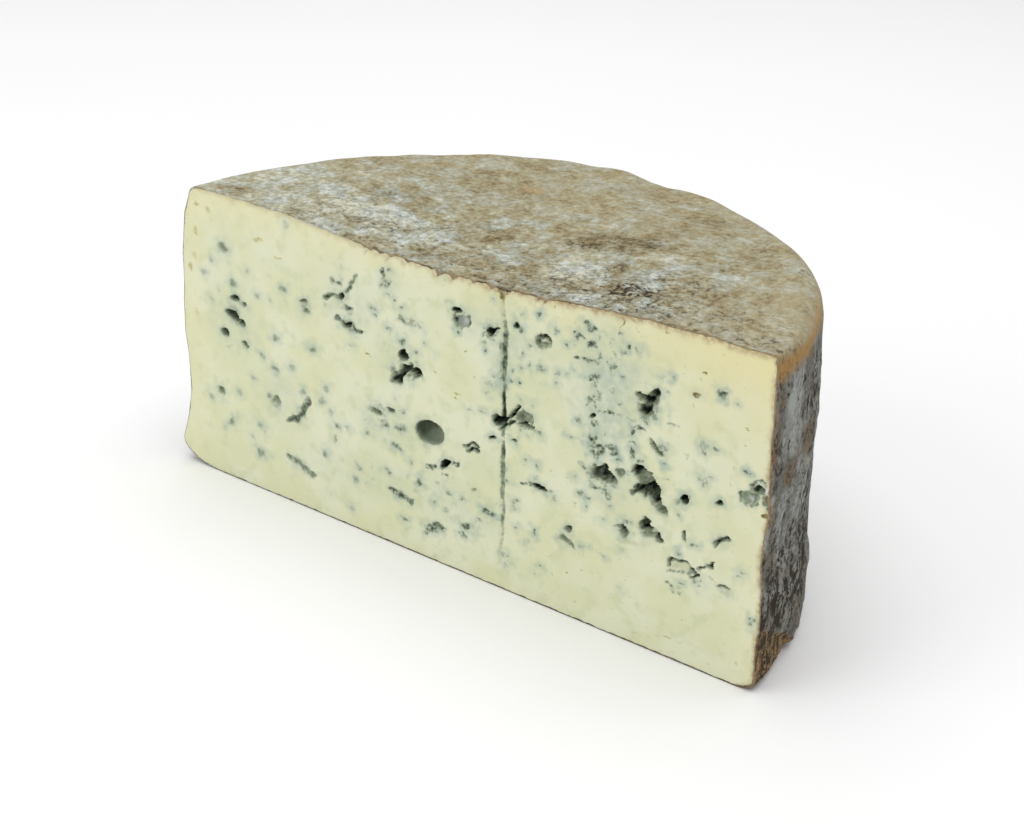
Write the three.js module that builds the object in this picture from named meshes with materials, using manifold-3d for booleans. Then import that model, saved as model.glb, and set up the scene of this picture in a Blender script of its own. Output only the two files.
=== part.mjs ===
// Half of a wheel of soft blue cheese, stood on its base with the cut side towards -Y.
// Lengths are millimetres, +X runs along the cut and +Z is up.
// The wheel is a low drum that spreads towards its base, with a dished top and worn rounded edges.
// The cut side shows the pockets that the blue mould lives in, and the channel that a needle left.

import * as THREE from 'three';
import { mergeVertices } from 'three/addons/utils/BufferGeometryUtils.js';
import Module from 'manifold-3d';

const wasm = await Module();
wasm.setup();

// The wheel
const TOP_RADIUS = 100;
const HEIGHT = 97;
const CUT_IN_FRONT_OF_CENTRE = 3.2;
const TOP_TILT = 0.0064;
const DISH = { depth: 3.7, reach: 88, x: -6 };

// The worn top edge, as pairs of a bearing and a length. Bearings are degrees round the wheel from
// the right end of the cut to its left end at 180. The rounding is a radius, and the sag is how far
// the rim lies below the flat top.
const TOP_EDGE_ROUNDING = [[0, 1], [25, 7.5], [155, 7.5], [180, 4]];
const RIM_SAG = [
  [0, 0], [12, 0.3], [40, 0], [60, 0.9], [76, 0.5], [88, 0.9], [95, -0.9], [106, -1], [118, -0.7],
  [132, 0.7], [150, 0.3], [162, 1.1], [172, 1.1], [180, 0.9],
];
const SAG_REACH = 28;

// How far the wall stands out from the top radius. Each row is a height and the lengths at the four
// bearings: the right end of the cut, the right flank, the back and the left end of the cut.
const WALL_BEARINGS = [0, 25, 90, 180];
const WALL = [
  [0, 5, 4.9, 6.2, 7.8],
  [8, 4.6, 4.7, 5.9, 8],
  [16, 4.3, 4.8, 5.6, 5.4],
  [25, 3.8, 4, 5.1, 3.6],
  [38, 2.5, 2.8, 4.1, 4],
  [46, 2.7, 2.7, 3.5, 5.1],
  [52, 3.3, 2.2, 4.1, 5.1],
  [57, 3.2, 2.1, 4.4, 5.3],
  [64, 2.3, 2.1, 3.9, 4.9],
  [72, 1.5, 1.5, 2.8, 4.7],
  [80, 1, 0.6, 2.1, 3.9],
  [86, 0.7, 0.1, 1.6, 3.3],
  [92, 0.3, -0.4, 1, 1.5],
  [97, 0, -0.9, 0, 1],
];

// The rounded foot of the wall, as pairs of a bearing and a length: across the base and up the wall
const FOOT_ACROSS = [[0, 7], [16, 7], [35, 12], [90, 17], [180, 17]];
const FOOT_UP = [[0, 3.2], [16, 3.5], [35, 5], [180, 7]];

// Relief of the rind and of the knife's cut
const LUMPS = { size: 27, height: 0.8 };
const WRINKLES = { size: 9, height: 0.55 };
const WALL_STRETCH = 0.5;
const KNIFE_WAVES = { size: 22, height: 0.22 };

// A scab of rind has come off the foot of the wall beside the cut. Its depth goes by bearing.
const SCAR = { degrees: 13, top: 19, fall: 1.1, edge: 1.6 };
const SCAR_DEPTH = [[0, 0.7], [5, 1.1], [13, 1.8]];

// How finely the surface is divided
const COLUMNS = 64;
const ROWS = { top: 12, topEdge: 3, wall: 17, baseEdge: 3, bottom: 2 };
const POCKET_SIDES = 9;
const POCKET_RINGS = 6;

// Pockets in the cut: x along the cut, z up from the base, width, height, turn in degrees, depth.
// The first group is the right third, then the middle, then the left third.
const POCKETS = [
  [65, 73.5, 8, 6.5, 38, 5],
  [53, 48.5, 9.5, 5.4, -6, 5],
  [65, 52.5, 6, 4, -20, 4.5],
  [70.3, 46.5, 9, 4, -58, 5],
  [67, 38.2, 5, 3.4, 0, 4],
  [70, 35.6, 6, 3, 10, 3],
  [62, 31, 8, 2, 5, 2.5],
  [78, 49.5, 3.4, 3, 0, 3.5],
  [80, 29.5, 9, 4.2, -4, 4],
  [92.5, 28.3, 3.4, 2, 0, 2.5],
  [95.5, 57, 5.4, 5, 0, 3],
  [100, 58.5, 4, 3.6, 0, 2.4],
  [90.3, 41.8, 5, 1.6, 45, 2.5],
  [41.5, 27.5, 2.2, 4, 0, 2.5],
  [43, 23.3, 6, 2.2, -15, 2.5],
  [50, 57.5, 6, 3.4, 20, 3],
  [47, 75.5, 6.5, 3.4, 10, 3],
  [46, 89.8, 4.4, 2.4, 0, 2.4],
  [60, 87.5, 4, 3, 0, 2.4],
  [17.6, 53.6, 4.6, 3.6, 0, 4],
  [24.5, 57, 8, 4.6, -12, 4],
  [13.5, 79.5, 3.6, 3.4, 0, 3.5],
  [30.5, 81.3, 5, 3.2, 0, 3],
  [2.3, 79.8, 4.8, 5.6, 0, 3.5],
  [31.5, 37.8, 7.4, 2.6, -4, 3],
  [8.5, 41.5, 4.2, 2.6, 25, 2.5],
  [-6.5, 41.8, 10.5, 6.6, 6, 5.5],
  [-1.2, 33.6, 5, 2.6, 28, 4],
  [-17.2, 63.2, 3.8, 3.8, 0, 4.5],
  [-16, 57, 9.4, 2.4, 38, 4],
  [-40.7, 75, 3, 3, 0, 3.5],
  [-38, 66.8, 7.4, 3, -12, 3.5],
  [-55, 68.2, 3.6, 3.4, 0, 3],
  [-27, 42.6, 4.4, 2, 0, 2.5],
  [-84.5, 56.5, 7, 3.8, -20, 4.5],
  [-83, 62, 4, 3, 0, 3],
  [-87.6, 50.4, 3.6, 3, 0, 3],
  [-66.5, 32.3, 3.6, 4.4, 0, 2.5],
];

// The needle's channel, from the top rind down: x, z and half width
const CHANNEL = [
  [16.2, 96, 1.1],
  [17.2, 91, 1.0],
  [18.3, 84, 0.9],
  [18.4, 76, 1.4],
  [18.5, 67, 1.2],
  [19.1, 58, 0.7],
  [19.4, 46, 0.7],
  [19.8, 32, 0.7],
  [20.3, 18, 0.55],
];
const CHANNEL_DEPTH = 1.5;
const CHANNEL_SIDES = 6;

const PASTE_COLOUR = 0xdad7b2;
const PASTE_ROUGHNESS = 0.55;

const { lerp, clamp, degToRad, radToDeg } = THREE.MathUtils;

function eased(t) {
  const x = clamp(t, 0, 1);
  return x * x * (3 - 2 * x);
}

// A line through pairs of a place and a value, level at each place
function curve(pairs, at) {
  return pairs.slice(1).reduce((sum, [end, value], k) => {
    const [start, before] = pairs[k];
    return sum + (value - before) * eased((at - start) / (end - start));
  }, pairs[0][1]);
}

// The row for a place between the rows of a table that is sorted by its first column
function rowAt(rows, place) {
  const after = rows.findIndex(([start]) => start > place);
  if (after <= 0) {
    return rows.at(after);
  }
  const [low, high] = [rows[after - 1], rows[after]];
  const share = (place - low[0]) / (high[0] - low[0]);
  return low.map((value, k) => lerp(value, high[k], share));
}

// A number from 0 to 1 that belongs to one corner of a lattice
function cornerValue(x, y, z) {
  const wave = Math.sin(x * 127.1 + y * 311.7 + z * 74.7) * 43758.5453;
  return wave - Math.floor(wave);
}

// Smooth random lumps from -1 to 1, one lattice step wide
function lumps(x, y, z) {
  const base = [Math.floor(x), Math.floor(y), Math.floor(z)];
  const share = [eased(x - base[0]), eased(y - base[1]), eased(z - base[2])];
  let sum = 0;
  for (let corner = 0; corner < 8; corner += 1) {
    const step = [corner & 1, (corner >> 1) & 1, corner >> 2];
    const weight = step.reduce((w, up, k) => w * (up ? share[k] : 1 - share[k]), 1);
    sum += weight * cornerValue(base[0] + step[0], base[1] + step[1], base[2] + step[2]);
  }
  return 2 * sum - 1;
}

// Height of the rind's relief at a place. Beyond the top edge the wrinkles run down the wall.
function rindRelief(x, y, z) {
  const radius = Math.hypot(x, y - CUT_IN_FRONT_OF_CENTRE);
  const wall = eased((radius - TOP_RADIUS) / WRINKLES.size + 1);
  const below = (z - HEIGHT) * lerp(1, WALL_STRETCH, wall);
  const slow = lumps(x / LUMPS.size, y / LUMPS.size, z / LUMPS.size);
  const quick = lumps(x / WRINKLES.size + 40, y / WRINKLES.size, below / WRINKLES.size);
  return LUMPS.height * slow + WRINKLES.height * quick;
}

function topHeight(x, y) {
  const away = Math.hypot(x - DISH.x, y) / DISH.reach;
  const radius = Math.max(Math.hypot(x, y - CUT_IN_FRONT_OF_CENTRE), 1);
  const bearing = radToDeg(Math.acos(clamp(x / radius, -1, 1)));
  const sag = curve(RIM_SAG, bearing) * eased(1 - (TOP_RADIUS - radius) / SAG_REACH);
  return HEIGHT + TOP_TILT * x - DISH.depth * (1 - eased(away)) - sag;
}

function wallRadius(z, angle) {
  const out = rowAt(WALL, z).slice(1);
  const pairs = WALL_BEARINGS.map((bearing, k) => [bearing, out[k]]);
  return TOP_RADIUS + curve(pairs, radToDeg(angle));
}

// How far the lost scab lets the wall fall back
function scarDepth(z, angle) {
  const bearing = radToDeg(angle);
  const below = SCAR.top - SCAR.fall * Math.max(bearing, 0) - z;
  const beside = 1 - eased((bearing - SCAR.degrees) / 2 + 1);
  return curve(SCAR_DEPTH, bearing) * eased(below / SCAR.edge) * beside;
}

// The angle about the wheel's centre of a share of the way round, from cut to cut
function angleAt(share, radius) {
  const short = Math.asin(CUT_IN_FRONT_OF_CENTRE / radius);
  return -short + share * (Math.PI + 2 * short);
}

// A place on the wheel: share of the way round, radius and height. The relief moves it by the given
// shares outwards and upwards, and both ends of the way round stay in the plane of the cut.
function wheelPoint(share, radius, height, outwards, upwards) {
  const angle = angleAt(share, radius);
  const x = radius * Math.cos(angle);
  const y = CUT_IN_FRONT_OF_CENTRE + radius * Math.sin(angle);
  const relief = rindRelief(x, y, height);
  const out = outwards * (relief - scarDepth(height, angle));
  const inCut = share === 0 || share === 1;
  return [x + out * Math.cos(angle), inCut ? 0 : y + out * Math.sin(angle), height + upwards * relief];
}

// The rind as one skin: each column leaves the cut over the top, turns down the wall and comes
// back under the base. Row 0 is the top edge of the cut and the last row is its bottom edge.
const ROW_ENDS = {
  top: ROWS.top,
  topEdge: ROWS.top + ROWS.topEdge,
  wall: ROWS.top + ROWS.topEdge + ROWS.wall,
  baseEdge: ROWS.top + ROWS.topEdge + ROWS.wall + ROWS.baseEdge,
};
const LAST_ROW = ROW_ENDS.baseEdge + ROWS.bottom;

function rindPoint(column, row) {
  const share = column / COLUMNS;
  const around = angleAt(share, TOP_RADIUS);
  const bearing = radToDeg(around);
  const rounding = curve(TOP_EDGE_ROUNDING, bearing);
  const top = HEIGHT + TOP_TILT * TOP_RADIUS * Math.cos(around) - curve(RIM_SAG, bearing);
  const rim = top - rounding;
  const flatRadius = wallRadius(rim, around) - rounding;
  const foot = curve(FOOT_UP, bearing);
  const across = curve(FOOT_ACROSS, bearing);
  const footRadius = wallRadius(foot, around) - across;
  if (row <= ROW_ENDS.top) {
    const edge = wheelPoint(share, flatRadius, 0, 0, 0);
    const y = (edge[1] * row) / ROWS.top;
    const z = topHeight(edge[0], y);
    return [edge[0], y, z + rindRelief(edge[0], y, z)];
  }
  if (row <= ROW_ENDS.topEdge) {
    const turn = ((row - ROW_ENDS.top) / ROWS.topEdge) * (Math.PI / 2);
    const radius = flatRadius + rounding * Math.sin(turn);
    const z = rim + rounding * Math.cos(turn);
    return wheelPoint(share, radius, z, Math.sin(turn), Math.cos(turn));
  }
  if (row <= ROW_ENDS.wall) {
    const z = lerp(rim, foot, (row - ROW_ENDS.topEdge) / ROWS.wall);
    return wheelPoint(share, wallRadius(z, around), z, 1, 0);
  }
  if (row <= ROW_ENDS.baseEdge) {
    const turn = ((row - ROW_ENDS.wall) / ROWS.baseEdge) * (Math.PI / 2);
    const radius = footRadius + across * Math.cos(turn);
    return wheelPoint(share, radius, foot * (1 - Math.sin(turn)), Math.cos(turn), 0);
  }
  const edge = wheelPoint(share, footRadius, 0, 0, 0);
  return [edge[0], (edge[1] * (LAST_ROW - row)) / ROWS.bottom, 0];
}

// The cut side is stretched between the rind's four edges, with slow waves from the knife
function cutPoint(column, row) {
  const across = column / COLUMNS;
  const down = row / (ROW_ENDS.baseEdge - ROW_ENDS.top);
  const sides = [
    [rindPoint(column, 0), 1 - down],
    [rindPoint(column, LAST_ROW), down],
    [rindPoint(0, ROW_ENDS.top + row), 1 - across],
    [rindPoint(COLUMNS, ROW_ENDS.top + row), across],
    [rindPoint(0, 0), -(1 - across) * (1 - down)],
    [rindPoint(COLUMNS, 0), -across * (1 - down)],
    [rindPoint(0, LAST_ROW), -(1 - across) * down],
    [rindPoint(COLUMNS, LAST_ROW), -across * down],
  ];
  const x = sides.reduce((sum, [point, weight]) => sum + weight * point[0], 0);
  const z = sides.reduce((sum, [point, weight]) => sum + weight * point[2], 0);
  const inside = Math.min(across, 1 - across, down, 1 - down);
  const wave = lumps(x / KNIFE_WAVES.size, 7, z / KNIFE_WAVES.size);
  return [x, KNIFE_WAVES.height * wave * eased(inside * 12), z];
}

// Adds a grid of quads to a list of corners, wound one way or the other
function addGrid(corners, columns, rows, pointAt, reverse) {
  for (let column = 0; column < columns; column += 1) {
    for (let row = 0; row < rows; row += 1) {
      const a = pointAt(column, row);
      const b = pointAt(column + 1, row);
      const c = pointAt(column + 1, row + 1);
      const d = pointAt(column, row + 1);
      const around = reverse ? [a, b, c, a, c, d] : [a, c, b, a, d, c];
      corners.push(...around.flat());
    }
  }
}

// Joins equal corners and drops the triangles that this leaves without width
function joined(geometry) {
  geometry.deleteAttribute('normal');
  geometry.deleteAttribute('uv');
  const merged = mergeVertices(geometry, 1e-3);
  const index = Array.from(merged.index.array);
  const kept = [];
  for (let i = 0; i < index.length; i += 3) {
    const [a, b, c] = index.slice(i, i + 3);
    if (a !== b && b !== c && a !== c) {
      kept.push(a, b, c);
    }
  }
  merged.setIndex(kept);
  return merged;
}

function solidOf(geometry) {
  const closed = joined(geometry);
  return new wasm.Manifold(
    new wasm.Mesh({
      numProp: 3,
      vertProperties: new Float32Array(closed.attributes.position.array),
      triVerts: new Uint32Array(closed.index.array),
    }),
  );
}

function geometryOf(solid) {
  const mesh = solid.getMesh();
  const geometry = new THREE.BufferGeometry();
  geometry.setAttribute('position', new THREE.BufferAttribute(mesh.vertProperties, 3));
  geometry.setIndex(new THREE.BufferAttribute(mesh.triVerts, 1));
  return geometry;
}

function wheelGeometry() {
  const corners = [];
  addGrid(corners, COLUMNS, LAST_ROW, rindPoint, false);
  addGrid(corners, COLUMNS, ROW_ENDS.baseEdge - ROW_ENDS.top, cutPoint, true);
  const geometry = new THREE.BufferGeometry();
  geometry.setAttribute('position', new THREE.Float32BufferAttribute(corners, 3));
  return geometry;
}

// A pocket is a lumpy round hollow, half of it inside the paste
function pocketGeometry([x, z, width, height, turn, depth]) {
  const geometry = new THREE.SphereGeometry(1, POCKET_SIDES, POCKET_RINGS);
  const position = geometry.attributes.position;
  const point = new THREE.Vector3();
  for (let i = 0; i < position.count; i += 1) {
    point.fromBufferAttribute(position, i);
    const lumpy = 1 + 0.2 * lumps(point.x * 1.6 + x, point.y * 1.6 + z, point.z * 1.6);
    position.setXYZ(i, point.x * lumpy, point.y * lumpy, point.z * lumpy);
  }
  geometry.scale(width / 2, depth, height / 2);
  geometry.rotateY(degToRad(-turn));
  geometry.translate(x, 0, z);
  return geometry;
}

// The channel is a thin rounded bar along the needle's way, open to the cut
function channelGeometry() {
  const corners = [];
  const ringPoint = (side, ring) => {
    const [x, z, half] = CHANNEL[clamp(ring, 0, CHANNEL.length - 1)];
    const closing = ring < 0 || ring >= CHANNEL.length ? 0 : 1;
    const turn = ((side % CHANNEL_SIDES) / CHANNEL_SIDES) * Math.PI * 2;
    return [x + closing * half * Math.cos(turn), closing * CHANNEL_DEPTH * Math.sin(turn), z];
  };
  addGrid(corners, CHANNEL_SIDES, CHANNEL.length + 1, (side, row) => ringPoint(side, row - 1), false);
  const geometry = new THREE.BufferGeometry();
  geometry.setAttribute('position', new THREE.Float32BufferAttribute(corners, 3));
  return geometry;
}

function halfWheel() {
  let solid = solidOf(wheelGeometry());
  for (const pocket of POCKETS) {
    solid = solid.subtract(solidOf(pocketGeometry(pocket)));
  }
  solid = solid.subtract(solidOf(channelGeometry()));
  const geometry = geometryOf(solid);
  geometry.computeBoundingBox();
  const box = geometry.boundingBox;
  geometry.translate(-(box.min.x + box.max.x) / 2, -(box.min.y + box.max.y) / 2, -box.min.z);
  geometry.computeVertexNormals();
  const material = new THREE.MeshStandardMaterial({
    color: PASTE_COLOUR,
    roughness: PASTE_ROUGHNESS,
    metalness: 0,
  });
  const mesh = new THREE.Mesh(geometry, material);
  mesh.name = 'half_wheel';
  return mesh;
}

const cheese = new THREE.Group();
cheese.add(halfWheel());

export default cheese;
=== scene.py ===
"""Half of a wheel of soft blue cheese: its cut paste and its dry natural rind, on a pale floor.

Shapes are worked out in millimetres, +X along the cut, the cut looking towards -Y, +Z up, and are put
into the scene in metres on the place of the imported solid.
"""

import logging
import math
from dataclasses import dataclass, field
from enum import Enum
from functools import partial
from typing import Sequence

import bpy
import numpy as np
from mathutils import Matrix, Vector


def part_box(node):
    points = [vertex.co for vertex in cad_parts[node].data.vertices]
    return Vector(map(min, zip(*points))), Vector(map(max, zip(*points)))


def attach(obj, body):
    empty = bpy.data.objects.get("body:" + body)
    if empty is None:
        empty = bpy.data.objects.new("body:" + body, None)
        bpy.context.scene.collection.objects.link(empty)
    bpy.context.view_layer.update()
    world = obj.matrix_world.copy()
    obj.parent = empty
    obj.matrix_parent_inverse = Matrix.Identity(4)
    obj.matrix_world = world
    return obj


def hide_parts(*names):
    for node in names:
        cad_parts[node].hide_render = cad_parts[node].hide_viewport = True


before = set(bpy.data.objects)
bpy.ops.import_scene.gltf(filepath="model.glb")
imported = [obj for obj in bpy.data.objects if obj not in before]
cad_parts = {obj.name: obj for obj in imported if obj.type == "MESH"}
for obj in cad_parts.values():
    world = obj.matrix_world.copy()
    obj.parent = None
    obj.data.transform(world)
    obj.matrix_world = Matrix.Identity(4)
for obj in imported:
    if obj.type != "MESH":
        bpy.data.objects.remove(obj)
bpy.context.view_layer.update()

NODE = "half_wheel"
OUTWARD_REACH = 2.5
BODY = "root"
MM = 0.001
LOG = logging.getLogger("cheese")
Array = np.ndarray
Pairs = tuple[tuple[float, float], ...]


# Numbers shared by every surface


def eased(t: Array) -> Array:
    """A smooth step: 0 below 0, 1 above 1, and 3t^2 - 2t^3 between."""
    x = np.clip(t, 0.0, 1.0)
    return x * x * (3.0 - 2.0 * x)


def lerp(a: Array, b: Array, t: Array) -> Array:
    """The value a share t of the way from a to b."""
    return a + (b - a) * t


def corner_value(x: Array, y: Array, z: Array) -> Array:
    """A number from 0 to 1 that belongs to one corner of a lattice: the fraction of a fast sine."""
    wave = np.sin(x * 127.1 + y * 311.7 + z * 74.7) * 43758.5453
    return wave - np.floor(wave)


def lumps(x: Array, y: Array, z: Array) -> Array:
    """Smooth random lumps one lattice step wide.

    The eight corner values round a point are blended with eased weights along each axis.

    Args:
        x, y, z: place, in lattice steps.

    Returns:
        Heights from -1 to 1.
    """
    x, y, z = np.broadcast_arrays(x, y, z)
    low = [np.floor(a) for a in (x, y, z)]
    share = [eased(a - b) for a, b in zip((x, y, z), low)]
    total = np.zeros(x.shape)
    for corner in range(8):
        step = (corner & 1, corner >> 1 & 1, corner >> 2)
        weight = np.ones(x.shape)
        for part, up in zip(share, step):
            weight = weight * (part if up else 1.0 - part)
        total += weight * corner_value(*(b + up for b, up in zip(low, step)))
    return 2.0 * total - 1.0


def curve(at: Array, pairs: Sequence[tuple[float, Array]]) -> Array:
    """A line through pairs of a place and a value, level at each place: the first value plus an
    eased step for each stretch."""
    total = pairs[0][1]
    for (start, before), (end, value) in zip(pairs, pairs[1:]):
        total = total + (value - before) * eased((at - start) / (end - start))
    return total


def oval(x: Array, z: Array, wide: float, high: float, turn: float) -> Array:
    """Distance from the centre of a turned ellipse: 0 at the centre, 1 on its line, rising outside."""
    c, s = math.cos(math.radians(turn)), math.sin(math.radians(turn))
    return np.hypot((x * c + z * s) * 2.0 / wide, (z * c - x * s) * 2.0 / high)


def patches(u: Array, v: Array, rows: Sequence[Sequence[float]]) -> Array:
    """Sums soft ovals: each adds its strength at its centre and fades out beyond its line.

    Args:
        u, v: places.
        rows: u and v of the centre, width, height, turn in degrees and strength.

    Returns:
        The sum at each place.
    """
    total = np.zeros(np.shape(u))
    for middle_u, middle_v, wide, high, turn, strength in rows:
        q = oval(u - middle_u, v - middle_v, wide, high, turn)
        total = total + strength * eased((1.35 - q) / 0.8)
    return total


# The form of the wheel, as the solid has it


@dataclass(frozen=True)
class Skin:
    """Places on the wheel's skin: rows run over the top, down the wall and back under the base."""

    point: Array
    normal: Array
    angle: Array
    zone: Array
    wall: Array


class Zone(Enum):
    """The stretches of the skin, from the top edge of the cut to its bottom edge."""

    TOP = 0
    TOP_EDGE = 1
    WALL = 2
    BASE_EDGE = 3
    BOTTOM = 4


@dataclass(frozen=True)
class Wheel:
    """The cut wheel's driving dimensions, in millimetres, and the surface that they make.

    Pairs hold a bearing and a length. Bearings are degrees round the wheel, from the right end of
    the cut to its left end at 180. The wall's rows hold a height and how far the wall stands out
    there at each of its bearings.
    """

    top_radius: float = 100.0
    height: float = 97.0
    cut_in_front: float = 3.2
    tilt: float = 0.0064
    dish_depth: float = 3.7
    dish_reach: float = 88.0
    dish_x: float = -6.0
    rounding: Pairs = ((0.0, 1.0), (25.0, 7.5), (155.0, 7.5), (180.0, 4.0))
    sag: Pairs = (
        (0.0, 0.0), (12.0, 0.3), (40.0, 0.0), (60.0, 0.9), (76.0, 0.5), (88.0, 0.9), (95.0, -0.9),
        (106.0, -1.0), (118.0, -0.7), (132.0, 0.7), (150.0, 0.3), (162.0, 1.1), (172.0, 1.1),
        (180.0, 0.9),
    )
    sag_reach: float = 28.0
    wall_bearings: tuple[float, ...] = (0.0, 25.0, 90.0, 180.0)
    wall: tuple[tuple[float, ...], ...] = (
        (0.0, 5.0, 4.9, 6.2, 7.8),
        (8.0, 4.6, 4.7, 5.9, 8.0),
        (16.0, 4.3, 4.8, 5.6, 5.4),
        (25.0, 3.8, 4.0, 5.1, 3.6),
        (38.0, 2.5, 2.8, 4.1, 4.0),
        (46.0, 2.7, 2.7, 3.5, 5.1),
        (52.0, 3.3, 2.2, 4.1, 5.1),
        (57.0, 3.2, 2.1, 4.4, 5.3),
        (64.0, 2.3, 2.1, 3.9, 4.9),
        (72.0, 1.5, 1.5, 2.8, 4.7),
        (80.0, 1.0, 0.6, 2.1, 3.9),
        (86.0, 0.7, 0.1, 1.6, 3.3),
        (92.0, 0.3, -0.4, 1.0, 1.5),
        (97.0, 0.0, -0.9, 0.0, 1.0),
    )
    foot_across: Pairs = ((0.0, 7.0), (16.0, 7.0), (35.0, 12.0), (90.0, 17.0), (180.0, 17.0))
    foot_up: Pairs = ((0.0, 3.2), (16.0, 3.5), (35.0, 5.0), (180.0, 7.0))
    lump_size: float = 27.0
    lump_height: float = 0.8
    wrinkle_size: float = 9.0
    wrinkle_height: float = 0.32
    wall_stretch: float = 0.5
    scar_degrees: float = 13.0
    scar_top: float = 19.0
    scar_fall: float = 1.1
    scar_edge: float = 1.6
    scar_depth: Pairs = ((0.0, 0.7), (5.0, 1.1), (13.0, 1.8))

    def wall_share(self, x: Array, y: Array) -> Array:
        """0 on the top, 1 on the wall, eased over one wrinkle at the top edge."""
        radius = np.hypot(x, y - self.cut_in_front)
        return eased((radius - self.top_radius) / self.wrinkle_size + 1.0)

    def below(self, x: Array, y: Array, z: Array) -> Array:
        """Height above the rim, shortened on the wall so that wrinkles run down it."""
        return (z - self.height) * lerp(1.0, self.wall_stretch, self.wall_share(x, y))

    def relief(self, x: Array, y: Array, z: Array) -> Array:
        """Slow lumps plus wrinkles, which the wall stretches downwards."""
        slow, quick = self.lump_size, self.wrinkle_size
        swell = self.lump_height * lumps(x / slow, y / slow, z / slow)
        below = self.below(x, y, z)
        return swell + self.wrinkle_height * lumps(x / quick + 40.0, y / quick, below / quick)

    def top_height(self, x: Array, y: Array) -> Array:
        """The flat top less an eased dish about a point on the cut, and less the rim's sag."""
        away = np.hypot(x - self.dish_x, y) / self.dish_reach
        radius = np.maximum(np.hypot(x, y - self.cut_in_front), 1.0)
        bearing = np.degrees(np.arccos(np.clip(x / radius, -1.0, 1.0)))
        sag = curve(bearing, self.sag) * eased(1.0 - (self.top_radius - radius) / self.sag_reach)
        return self.height + self.tilt * x - self.dish_depth * (1.0 - eased(away)) - sag

    def wall_radius(self, z: Array, angle: Array) -> Array:
        """Top radius plus what the wall's rows give for the height, eased between the bearings."""
        heights, *columns = np.array(self.wall).T
        out = [np.interp(z, heights, column) for column in columns]
        return self.top_radius + curve(np.degrees(angle), tuple(zip(self.wall_bearings, out)))

    def scar(self, z: Array, angle: Array) -> Array:
        """Depth of the lost scab: below a line that falls away from the cut, over a few degrees."""
        bearing = np.degrees(angle)
        below = self.scar_top - self.scar_fall * np.maximum(bearing, 0.0) - z
        beside = 1.0 - eased((bearing - self.scar_degrees) / 2.0 + 1.0)
        return curve(bearing, self.scar_depth) * eased(below / self.scar_edge) * beside

    def angle_at(self, share: Array, radius: Array) -> Array:
        """The angle about the wheel's centre of a share of the way round, from cut to cut."""
        short = np.arcsin(self.cut_in_front / radius)
        return -short + share * (math.pi + 2.0 * short)

    def share_at(self, x: Array) -> Array:
        """The share of the way round whose column crosses the top at that x."""
        share = np.linspace(0.0, 1.0, 2001)
        return np.interp(-x, -self.skin(share, np.array([0.0])).point[0, :, 0], share)

    def skin(self, share: Array, way: Array) -> Skin:
        """The skin as one grid.

        Each column leaves the cut over the top, rounds the edge on a quarter circle, goes down the
        wall, rounds the foot on a quarter ellipse and comes back to the cut under the base. The
        relief moves a point up on the top, out on the wall, and by both shares of the turn between.

        Args:
            share: share of the way round for each column, 0 at the right end of the cut, 1 at the left.
            way: for each row its zone's number plus its share of that zone, from 0 to 5.

        Returns:
            The skin, with a row for each way and a column for each share.
        """
        s, w = np.meshgrid(share, way)
        zone = np.clip(np.floor(w), Zone.TOP.value, Zone.BOTTOM.value)
        t = w - zone
        around = self.angle_at(s, self.top_radius)
        bearing = np.degrees(around)
        rounding, sag = curve(bearing, self.rounding), curve(bearing, self.sag)
        rim = self.height + self.tilt * self.top_radius * np.cos(around) - sag - rounding
        flat = self.wall_radius(rim, around) - rounding
        foot, across = curve(bearing, self.foot_up), curve(bearing, self.foot_across)
        foot_flat = self.wall_radius(foot, around) - across
        turn = t * math.pi / 2.0
        on = [zone == z.value for z in Zone]
        wall_z = lerp(rim, foot, t)
        wall_radius = self.wall_radius(wall_z, around)
        rounded = flat + rounding * np.sin(turn)
        footed = foot_flat + across * np.cos(turn)
        radius = np.select(on, [flat, rounded, wall_radius, footed, foot_flat])
        height = np.select(
            on, [rim, rim + rounding * np.cos(turn), wall_z, foot * (1.0 - np.sin(turn)), 0.0 * t]
        )
        angle = self.angle_at(s, radius)
        x = radius * np.cos(angle)
        y = self.cut_in_front + radius * np.sin(angle)
        y = np.select([on[0], on[4]], [y * t, y * (1.0 - t)], y)
        z = np.where(on[0], self.top_height(x, y), height)
        nothing, whole = 0.0 * t, 0.0 * t + 1.0
        out = np.select(on, [nothing, np.sin(turn), whole, np.cos(turn), nothing])
        up = np.select(on, [whole, np.cos(turn), nothing, -np.sin(turn), -whole])
        relief = self.relief(x, y, z)
        push = out * (relief - self.scar(z, angle))
        lift = np.where(zone <= Zone.TOP_EDGE.value, up * relief, 0.0)
        point = np.stack([x + push * np.cos(angle), y + push * np.sin(angle), z + lift], -1)
        normal = np.stack([out * np.cos(angle), out * np.sin(angle), up], -1)
        ends = (s == 0.0) | (s == 1.0)
        point[ends, 1] = 0.0
        normal[ends, 1] = 0.0
        return Skin(point, normal, angle, zone, self.wall_share(x, y) * (zone > 0))


@dataclass(frozen=True)
class Rows:
    """How many rows each zone of a skin has."""

    top: int
    top_edge: int
    wall: int
    base_edge: int
    bottom: int

    def way(self) -> Array:
        """The way of each row: every zone divided evenly, and the last row at 5."""
        counts = (self.top, self.top_edge, self.wall, self.base_edge, self.bottom)
        parts = [zone + np.arange(count) / count for zone, count in enumerate(counts)]
        return np.append(np.concatenate(parts), float(len(counts)))

    def side(self) -> Array:
        """The ways of the rows that meet the cut between its top and bottom edges."""
        way = self.way()
        return way[(way > Zone.TOP_EDGE.value) & (way < Zone.BOTTOM.value)]


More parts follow.
